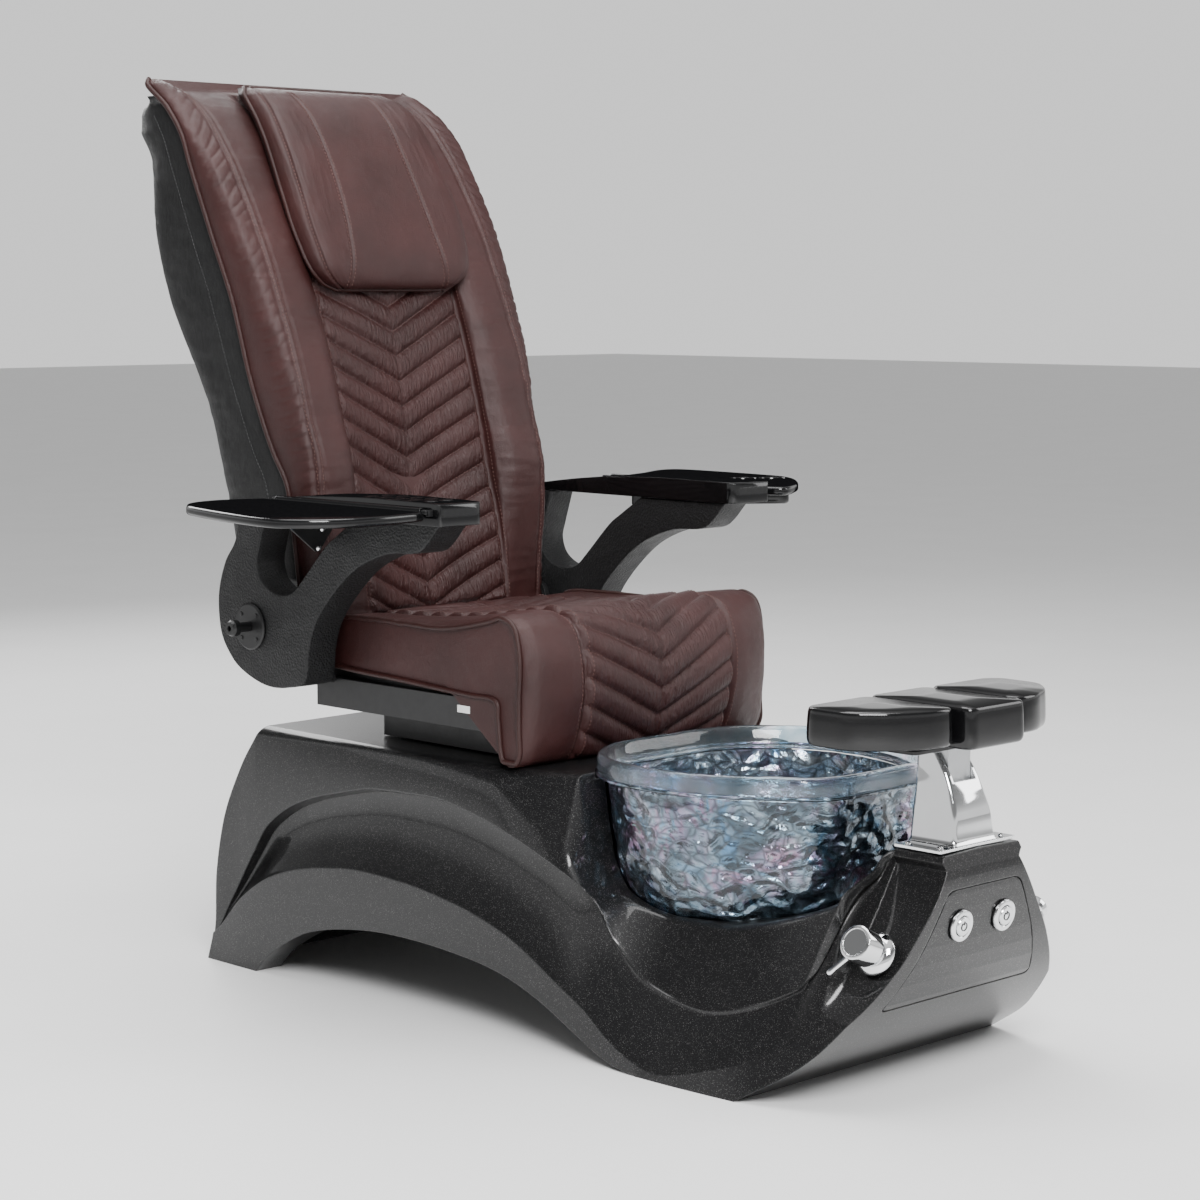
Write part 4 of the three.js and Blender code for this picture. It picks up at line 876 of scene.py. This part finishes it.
def back_cushion():
    """Front of the cushion as rows across it from bottom to top, closed by a flat rear."""
    z = np.linspace(577, 1452, 442)
    inner = np.linspace(0, SEAM_X, 66)[:-1]
    rows = []
    for h in z:
        c, s = centre_y(h), seam_y(h)
        right = np.vstack([np.c_[inner, c + (s - c) * (inner / SEAM_X) ** 2], spline(back_columns(h), 64)])
        rows.append(np.vstack([right[1:][::-1] * (-1, 1), right]))
    rows = np.array(rows)
    x = rows[..., 0]
    pts = np.stack([x, rows[..., 1], np.broadcast_to(z[:, None], x.shape)], -1)
    arc = np.r_[0, np.cumsum(np.hypot(np.diff(z), np.diff(centre_y(z))))]
    n = normals_of(pts, (200, 128), (0, -1, 0))
    height, w = quilt(arc[:, None], x, SEAM_X, BACK_PITCH, BACK_RISE, 8.5, -BACK_LEAD)
    ends = (smooth_step((z - 580) / 14) * smooth_step((1450 - z) / 16))[:, None]
    centre = (np.abs(x) < SEAM_X) * ends
    seam = 4.5 * bump(np.abs(x) - SEAM_X, 4.0) * ends
    noise = lattice_noise(x.shape, (34, 16), 31, 3)
    sag = lattice_noise(x.shape, (8, 5), 12, 2)
    to_edge = back_half(z)[:, None] - np.abs(x)
    outer = (np.abs(x) > SEAM_X + 8) * ends * smooth_step(to_edge / 16)
    creases = np.abs(lattice_noise(x.shape, (46, 7), 77, 2))
    crest_x = np.minimum(243, back_half(z) - 20)[:, None]
    past = np.abs(x) - crest_x
    crest = (2.4 * bump(past, 3.4) - 2.2 * bump(past - 7, 2.6) - 2.2 * bump(past + 7, 2.6)) * ends
    drift = lattice_noise(x.shape, (20, 6), 9, 2)
    fold = np.clip(np.sin(2 * math.pi * (z[:, None] + 0.8 * past) / 21 + 2.4 * drift), 0, 1) ** 1.5
    gathers = 1.8 * fold * (0.6 + 0.4 * drift) * smooth_step((past - 5) / 7) * smooth_step(to_edge / 7)
    surface = height * ends - 2.0 * centre - seam + 0.5 * noise * ends + 1.6 * sag * outer - 1.0 * creases * outer
    pts += n * (surface + crest - gathers * ends)[..., None]
    pts[..., 2] -= 14 * smooth_step((pts[..., 2] - 1380) / 70) * (1 - smooth_step((np.abs(x) - 225) / 45))
    cols = x.shape[1]
    rear = pts[:, [0, -1]].copy()
    rear[..., 1] = (border_y(z) + 5.5 - 11 * smooth_step((604 - z) / 8))[:, None]
    rear[..., 0] = np.sign(rear[..., 0]) * (back_half(z)[:, None] - 5)
    bottom_pull, top_pull = 8 * smooth_step(1 - (z - 577) / 8), 8 * smooth_step(1 - (1452 - z) / 10)
    pts[:, 1:-1, 1] += (bottom_pull + top_pull)[:, None]
    loops = np.concatenate([pts, rear[:, 1:], rear[:, :1]], 1)
    body = loft("back_cushion_leather", loops, body="back", material=QUILT)
    total = loops.shape[1]
    uv = np.zeros((len(z), total, 2))
    uv[:, :cols] = np.stack([x * 0.01, w], -1)
    level = np.zeros((len(z), total))
    level[:, :cols] = centre * (0.45 + 0.55 * bump(np.abs(x), 55) + 0.3 * bump(np.abs(x) - SEAM_X, 25))
    gather_layer(body, uv, np.clip(level, 0, 1))
    stands_for(body, "back_cushion")
    lines = []
    keep = np.flatnonzero((z > 596) & (z < 1440))
    for side, s in SIDES[::-1]:
        column = np.argmin(np.abs(x[0] - s * SEAM_X))
        for offset in (-2, 3 * s if s > 0 else 2):
            lines.append((pts[keep, column + offset], n[keep, column + offset]))
        welt = np.stack([s * (back_half(z) + 0.5), border_y(z) + 1.5, z], 1)
        tube(f"back_piping_{side}", welt, 4.4, body="back", material=PIPING)
        for offset in (-4, 4):
            edge = [np.argmin(np.abs(x[r] - s * (crest_x[r, 0] + offset))) for r in keep]
            lines.append((pts[keep, edge], n[keep, edge]))
    starts = np.arange(-1, 26) * BACK_PITCH + BACK_LEAD
    lines += chevron_seams(pts, n, x[0], arc, starts, BACK_RISE, SEAM_X - 3, arc[-1] - 10)
    stitches("back_stitches", lines, "back", THREAD, sink=0.3)


back_cushion()


# --- headrest pillow
def headrest_pillow():
    """Front and rear skins joined round a common rim."""
    rows, cols = 220, 240
    tall, width = (np.sin(np.linspace(-1, 1, count) * math.pi / 2) for count in (rows, cols))
    z = 1273 + 167 * tall
    half = curve((1106, 118), (1118, 144), (1140, 164), (1165, 172), (1220, 178), (1290, 176), (1350, 172),
                 (1395, 168), (1425, 161), (1440, 144))(z)
    front = curve((1106, 416), (1150, 424), (1200, 443), (1290, 486), (1360, 529), (1400, 559), (1440, 596))(z)
    x = half[:, None] * width[None]
    middle = np.minimum(centre_y(z), seam_y(z)) - 9
    edge = np.minimum(middle, seam_y(z) + 0.42 * (bolster_y(z) + 4 - seam_y(z)) - 9)
    rear = middle[:, None] + (edge - middle)[:, None] * smooth_step((np.abs(x) - 136) / 30)
    thick = np.sqrt(np.clip(1 - np.abs(width) ** 13, 0, 1))[None]
    thick = thick * np.sqrt(np.clip(1 - np.abs(tall) ** 9, 0, 1))[:, None]
    face_y = rear - (rear - front[:, None]) * (0.28 + 0.72 * thick)
    lift = 4 * smooth_step((np.abs(x) - 60) / 90)
    pts = np.stack([x, face_y - lift * thick, np.broadcast_to(z[:, None], x.shape)], -1)
    n = normals_of(pts, (rows // 2, cols // 2), (0, -1, 0))
    seam_x = curve((1106, 104), (1126, 102), (1250, 86), (1427, 82), (1440, 82))(z)[:, None]
    groove = 3.2 * bump(np.abs(x) - seam_x, 3.2) * thick
    groove += 2.4 * bump(np.abs(x) - 0.93 * half[:, None], 2.6)
    sag = 1.4 * lattice_noise(x.shape, (6, 6), 14, 2) * thick
    crease = np.abs(lattice_noise(x.shape, (9, 30), 15, 2)) * thick * smooth_step((np.abs(x) - seam_x) / 12)
    pts += n * (sag - groove - 0.6 * crease)[..., None]
    back = pts.copy()
    back[..., 1] = rear + 4.5 * (1 - np.abs(width[None]) ** 8)
    verts = np.vstack([pts.reshape(-1, 3), back.reshape(-1, 3)])
    faces = grid_faces(rows, cols) + [f[::-1] for f in grid_faces(rows, cols, start=rows * cols)]
    rim = [r * cols for r in range(rows)] + [(rows - 1) * cols + c for c in range(1, cols)]
    rim += [r * cols + cols - 1 for r in range(rows - 2, -1, -1)] + list(range(cols - 2, 0, -1))
    faces += bridge(rim, [i + rows * cols for i in rim])
    body = mesh("headrest_pillow_leather", verts, faces, "back", BROWN)
    face_out(body)
    stands_for(body, "headrest_pillow")
    border = evenly(np.vstack([pts.reshape(-1, 3)[rim], pts.reshape(-1, 3)[rim[:1]]]), 420, closed=True)
    tube("headrest_piping", border + (0, 2.5, 0), 3.8, closed=True, body="back", material=PIPING)
    lines = []
    for s in (-1, 1):
        keep = np.flatnonzero((z > 1112) & (z < 1434))
        for offset in (-5, 5):
            col = np.array([np.argmin(np.abs(x[r] - (s * seam_x[r, 0] + offset))) for r in keep])
            path = np.stack([s * seam_x[keep, 0] + offset, np.zeros(len(keep)), z[keep]], 1)
            path[:, 1] = pts[keep, col, 1]
            lines.append((path, n[keep, col]))
        rim_col = np.argmin(np.abs(width - s * 0.93))
        lines.append((pts[keep, rim_col], n[keep, rim_col]))
    stitches("headrest_stitches", lines, "back", THREAD)


headrest_pillow()


# --- padded back shell
def back_shell():
    heights, count = np.linspace(641, 1424, 200), 220
    rims, seams = (14, 205), (62, 157)  # stitched columns of the skin, counted from the sitter's left
    loops = []
    for z in heights:
        end = smooth_step((z - 1398) / 26) ** 2
        half, front, rear = back_half(z) - 6 - 8 * end, border_y(z) + 7, rear_y(z) - 26 * end
        knots = [(half - 1, front + 1), (half + 1, front + 14), (half + 0.5, front + 40),
                 (half - 3, (front + rear) / 2), (half - 9, rear - 46), (half - 24, rear - 18),
                 (half - 62, rear + 8), (half * 0.42, rear + 28)]
        knots += [(0, rear + 35)] + [(-x, y) for x, y in knots[::-1]]
        loops.append(np.c_[spline(knots, count), np.full(count, z)])
    loops = np.array(loops)
    n = normals_of(loops, (100, 110), (0, 1, 0))
    column = np.arange(count)[None]
    edge = smooth_step((column - 6) / 14) * smooth_step((count - 7 - column) / 14)
    wave = lattice_noise(loops.shape[:2], (6, 9), 41, 2)
    folds = np.abs(lattice_noise(loops.shape[:2], (26, 9), 42, 2))
    loops += n * ((1.8 * wave - 1.3 * folds) * edge)[..., None]
    loops[..., 1] = np.minimum(loops[..., 1], 827.5)
    body = loft("back_shell_cover", loops, body="back", material=BLACK_LEATHER)
    stands_for(body, "back_shell")
    lines = [(loops[6:-8, column], n[6:-8, column]) for column in rims + seams]
    stitches("shell_stitches", lines, "back", BLACK_THREAD, thick=0.6)
    for column in seams:
        welt = loops[2:-4, column] - 1.2 * n[2:-4, column]
        tube(f"shell_welt_{column}", welt, 3.0, body="back", material=BLACK_LEATHER)


back_shell()


# --- arms, caps and trays
ARM_TOP = 762.0
ARM_PIVOT = (270, 400, 575)
ARM_OUTLINE = np.vstack([
    spline([(258, 545), (243, 587), (203, 635), (143, 683), (71, 711), (6, 717), (-20, 729), (-52, ARM_TOP)], 60),
    spline([(140, ARM_TOP), (187, 732), (216, 712), (262, 667), (293, 639), (322, 631), (350, 636), (374, 652),
            (384, 678), (377, 705), (358, ARM_TOP)], 70),
    spline([(430, ARM_TOP), (440, 711), (468, 673), (486, 620), (481, 560), (455, 522), (426, 502), (384, 487),
            (348, 482), (312, 485), (271, 495), (260, 520)], 90),
])


def mirrored(obj, side):
    """Turns a piece modelled on the sitter's left into the one on the other side, if side is -1."""
    if side < 0:
        obj.data.transform(Matrix.Scale(-1, 4, (1, 0, 0)))
        obj.data.flip_normals()
    return obj


def arms():
    for name, side in SIDES:
        arm = prism(f"arm_{name}_skin", ARM_OUTLINE, "x", 279, 336, round_by=9, segments=5, material=GRIT)
        boolean(arm, turned("bore", [(0, 0), (14.5, 0), (14.5, 80), (0, 80)], ARM_PIVOT, (1, 0, 0)))
        finish_piece(mirrored(arm, side), f"arm_{name}_body", GRIT, angle=40)
        stands_for(arm, f"arm_{name}")
        side_view = [*spline([(-79, 788), (-76.5, 793.5), (-68, 796), (15, 797), (106, 797), (244, 791), (356, 779),
                              (428, 768)], 70), (428, 762.8), (-79, 762.8)]
        plan = rounded([(271.6, -79, 17), (357, -79, 8), (357, 350), (343, 430, 12), (281, 430, 12)], 20, 10)
        cap = prism("cap", side_view, "x", 262, 366)
        boolean(cap, prism("plan", plan, "z", 740, 820), "INTERSECT")
        round_edges(cap, 2.4, 4, 40)
        cap.name = f"arm_cap_{name}_gloss"
        if name == "right":  # two rows of plain round bumps
            for x, y in [(x, -26 + 33 * k) for k in range(5) for x in (299, 329)]:
                boolean(cap, turned("key", [(0, 2.0), (5, 1.8), (9, 1.0), (11.5, 0), (11.5, -4), (0, -4)],
                                    (x, y, 796.8), segments=32), "UNION")
        finish_piece(mirrored(cap, side), f"arm_{name}_body", GLOSS, angle=30)
        stands_for(cap, f"arm_cap_{name}")


TRAY_PLANS = {
    "left": spline([(369, -62), (392, -86), (455, -51), (499, -16), (546, 31), (578, 75), (592, 114), (600, 190),
                    (604, 280), (600, 345), (580, 368), (540, 362), (470, 330), (369, 300)], 130),
    "right": spline([(369, -58), (400, -67), (469, -76), (540, -66), (588, -28), (604, 22), (588, 130), (555, 257),
                     (532, 300), (500, 330), (440, 344), (369, 320)], 120),
}
TRAY_HINGE = (364.5, 0, 784)
WELLS = ((540, 80), (500, 110))


def trays():
    for name, side in SIDES:
        tray = prism(f"tray_{name}_gloss", TRAY_PLANS[name], "z", 771, 785, round_by=4.5, segments=5)
        barrel = turned("barrel", [(0, -48), (6.5, -48), (6.5, 292), (0, 292)], TRAY_HINGE, (0, 1, 0))
        boolean(tray, barrel, "UNION")
        boolean(tray, turned("bore", [(0, -200), (4, -200), (4, 400), (0, 400)], TRAY_HINGE, (0, 1, 0)))
        if name == "left":
            for x, y in WELLS:
                boolean(tray, turned("well", [(0, 740), (21, 740), (21, 781.5), (23.5, 786), (0, 786)], (x, y, 0)))
        finish_piece(mirrored(tray, side), f"tray_{name}_body", GLOSS, angle=30)
        stands_for(tray, f"tray_{name}")
        rivet = [(0, 3.2), (2.4, 2.8), (4.3, 1.4), (5, 0), (0, 0)]
        for z, x in ((743, 348), (714, 356)):
            finish_piece(turned(f"gusset_rivet_{name}_{z}", rivet, (side * x, 203.5, z), (0, -1, 0), 24),
                         f"arm_{name}_body", CHROME, angle=40)
    tub = prism("tray_cups_gloss", rounded([(578, 84), (546, 42), (462, 105), (494, 147)], 22, 10), "z", 742, 770.6,
                round_by=5, segments=4)
    for x, y in WELLS:
        boolean(tub, turned("well", [(0, 746), (18, 746), (21, 750), (21, 800), (0, 800)], (x, y, 0)))
    finish_piece(tub, "tray_left_body", GLOSS, angle=30)
    stands_for(tub, "tray_cups_left")


arms()
trays()


# --- footrest
def pad(name, outline, low, top, centre):
    """Gloss pad with a softly crowned top and rounded rims."""
    ring = evenly(np.vstack([outline, outline[:1]]), 180, closed=True)
    levels = [(low, 0.945), (low + 1.2, 0.965), (low + 4, 0.985), (low + 9, 0.998), (low + 18, 1.0),
              (low + (top - low) * 0.66, 0.993), (top - 11, 0.987), (top - 6, 0.981), (top - 3, 0.971),
              (top - 1, 0.953), (top - 0.2, 0.92), (top, 0.7), (top + 0.1, 0.3)]
    return loft(name, tiers(ring, spline(levels, 40), centre), body="footrest", material=PAD_GLOSS)


def footrest():
    middle = rounded([(63, -826), (63, -641), (-63, -641), (-63, -826)], 16, 12)
    wing = rounded([(67, -806), (112, -806), (172, -778), (212, -735), (214, -664), (196, -646), (67, -644)], 20, 12)
    for place, outline, low, centre in (("center", middle, 487, (0, -733)), ("left", wing, 493, (138, -726)),
                                        ("right", wing[::-1] * (-1, 1), 493, (-138, -726))):
        node = f"footrest_pad_{place}"
        stands_for(pad(node + "_gloss", outline, low, 545.8, centre), node)
    heights = np.linspace(348, 471, 50)
    half = curve((347, 50), (352, 46.5), (360, 45), (390, 41), (425, 36), (450, 33.5), (472, 31))(heights)
    front = curve((347, -790), (353, -786), (384, -783), (414, -774), (440, -763), (456, -753), (472, -742))(heights)
    loops = [tiers(rounded([(h, f), (h, -706), (-h, -706), (-h, f)], 7, 6), [(z, 1)], (0, 0))[0]
             for h, f, z in zip(half, front, heights)]
    stand = loft("footrest_stand_chrome", loops)
    slot = 24.6
    for name, front, rear, low in (("bore", -757.6, -721.4, 352), ("window", -800, -740, 432)):
        outline = [(-slot, front), (slot, front), (slot, rear), (-slot, rear)]
        boolean(stand, prism(name, outline, "z", low, 500))
    finish_piece(stand, "base", CHROME, angle=35)
    stands_for(stand, "footrest_stand")


footrest()


# --- valves and buttons
def chrome(name, profile, at, axis, body, node=None):
    """Turned chrome piece, in the place of its CAD node if it has one."""
    piece = turned(name, profile, at, axis, body=body, material=CHROME)
    if node:
        stands_for(piece, node)
    return piece


def controls():
    chrome("valve_escutcheon_chrome", [(10, 2.5), (31, 2.5), (31, 4.5), (29.5, 8), (24, 12.5), (17, 15), (10, 15)],
           *flank(-1), "base", "valve_escutcheon")
    chrome("valve_knob_chrome", [(0, 23), (8.6, 23), (8.6, 16), (16, 16), (22, 18), (25, 22), (25, 50.5), (24.3, 52.6),
                                 (22.5, 53.8), (19.5, 54), (19, 53), (0, 53)],
           *flank(-1), "valve_handle_body", "valve_handle")
    at, out = flank(-1)
    turn = Vector((0, 0, 1)).rotation_difference(Vector(out)).to_matrix()
    around = math.radians(139)
    chrome("valve_lever_chrome", [(0, 20), (4, 20), (3.6, 50), (4.6, 56), (4.6, 60), (3.4, 62), (0, 62.4)],
           at + turn @ Vector((0, 0, 36)), turn @ Vector((math.cos(around), math.sin(around), 0)), "valve_handle_body")
    chrome("sprayer_escutcheon_chrome", [(12, 2.5), (27, 2.5), (26, 7), (22, 10), (12, 11)],
           *flank(1), "base", "sprayer_escutcheon")
    chrome("sprayer_knob_chrome", [(0, -40), (11.5, -40), (11.5, 12), (16, 13), (18, 16), (18, 26), (16.5, 28.4),
                                   (14, 29), (0, 29)],
           *flank(1), "sprayer_knob_body", "sprayer_knob")
    tilt = math.radians(8)
    axis = (0, -math.cos(tilt), -math.sin(tilt))
    up = Vector((0, -math.sin(tilt), math.cos(tilt)))
    for name, side in SIDES:
        at, body = (side * 47.5, -799, 241), f"button_{name}_body"
        chrome(f"button_bezel_{name}_chrome", [(14.5, -26), (17.5, -26), (17.5, 1.6), (23, 1.6), (23, 3), (22, 5.2),
                                               (20, 6), (16.2, 6), (14.5, 4.6)],
               at, axis, "base", f"button_bezel_{name}")
        chrome(f"button_{name}_chrome", [(0, -20), (13.8, -20), (13.8, 6.4), (13, 7.6), (11.5, 8), (8, 7.7), (0, 7.4)],
               at, axis, body, f"button_{name}")
        face = Vector(at) + Vector(axis) * 8.0
        ring = [face + Vector((math.sin(a), 0, 0)) * 5.6 + up * math.cos(a) * 5.6
                for a in np.linspace(0.5, 2 * math.pi - 0.5, 40)]
        tube(f"button_mark_ring_{name}", ring, 0.7, body=body, material=DARK_PLASTIC)
        tube(f"button_mark_bar_{name}", [face + up * 2.2, face + up * 7.4], 0.7, body=body, material=DARK_PLASTIC)


controls()


# --- CAD pieces that show as they are
FINISHES = {
    "gelcoat": GELCOAT, "gloss_black": GLOSS, "arm_skin": GRIT, "chrome": CHROME, "bare_steel": STEEL,
    "black_steel": POWDER, "motor_plastic": DARK_PLASTIC, "white_plastic": WHITE_PLASTIC, "roller_rubber": RUBBER,
    "brown_leather": BROWN, "shell_cover": BLACK_LEATHER, "bowl_glass": GLASS,
}
for part in frame["record"]["subparts"]:
    node = frame["nodes"][part["node"]]
    finish_piece(node, angle=SHARP_TURNED)
    for slot in node.material_slots:
        slot.material = POWDER if "hinge_pin" in part["node"] else FINISHES[part["material_slot"]]


# --- studio
def studio():
    floor = mesh("floor", [(-30000, -30000, 0), (30000, -30000, 0), (30000, 30000, 0), (-30000, 30000, 0)],
                 [(0, 1, 2, 3)], smooth=False)
    s = Shader("studio floor", Roughness=0.55)
    s.tones(3, (0.86, 0.86, 0.86), (0.89, 0.89, 0.89), detail=3)
    floor.data.materials.append(s.material)
    world = bpy.data.worlds.new("studio")
    bpy.context.scene.world = world
    world.use_nodes = True
    tree = world.node_tree
    coords, height, half, sky = (tree.nodes.new("ShaderNode" + kind)
                                 for kind in ("TexCoord", "SeparateXYZ", "Math", "ValToRGB"))
    half.operation = "MULTIPLY_ADD"
    half.inputs[1].default_value = half.inputs[2].default_value = 0.5
    background = tree.nodes["Background"].inputs
    for source, target in ((coords.outputs["Generated"], height.inputs[0]), (height.outputs["Z"], half.inputs[0]),
                           (half.outputs[0], sky.inputs["Fac"]), (sky.outputs["Color"], background["Color"])):
        tree.links.new(source, target)
    # level of grey by height: 0.5 is the horizon and 1 is overhead
    bands = ((0.5, 1.0), (0.575, 1.0), (0.64, 0.30), (0.80, 0.16), (0.90, 0.75), (1.0, 1.0))
    while len(sky.color_ramp.elements) < len(bands):
        sky.color_ramp.elements.new(0.5)
    for stop, (at, level) in zip(sky.color_ramp.elements, bands):
        stop.position = at
        stop.color = (level, level, level, 1)
    background["Strength"].default_value = 1.0
    for name, at, aim, size, power in (
        ("key", (-2.6, -3.4, 3.6), (0, 0, 0.6), (2.0, 2.0), 380),
        ("fill", (3.6, -2.4, 2.6), (0, 0, 0.6), (2.0, 2.4), 70),
        ("top", (0, 0.3, 4.2), (0, 0, 0.5), (3.0, 3.0), 150),
        ("back", (1.5, 4.2, 2.8), (0, 0, 0.7), (2.5, 2.0), 110),
    ):
        light = bpy.data.lights.new(name, "AREA")
        light.shape = "RECTANGLE"
        light.size, light.size_y = size
        light.energy = power
        lamp = bpy.data.objects.new(name, light)
        bpy.context.scene.collection.objects.link(lamp)
        lamp.location = at
        lamp.rotation_euler = (Vector(aim) - Vector(at)).to_track_quat("-Z", "Y").to_euler()
    camera = bpy.data.objects.new("camera", bpy.data.cameras.new("camera"))
    bpy.context.scene.collection.objects.link(camera)
    camera.data.sensor_width = 36
    # fitted to the photograph: focal length, place, and how far it looks down and to the side
    camera.data.lens = 84.63
    camera.location = (-3.0623, -3.1561, 1.1119)
    down, aside = 6.35, -44.57
    camera.rotation_euler = Euler((math.radians(90 - down), 0, math.radians(aside)))
    bpy.context.scene.camera = camera


studio()
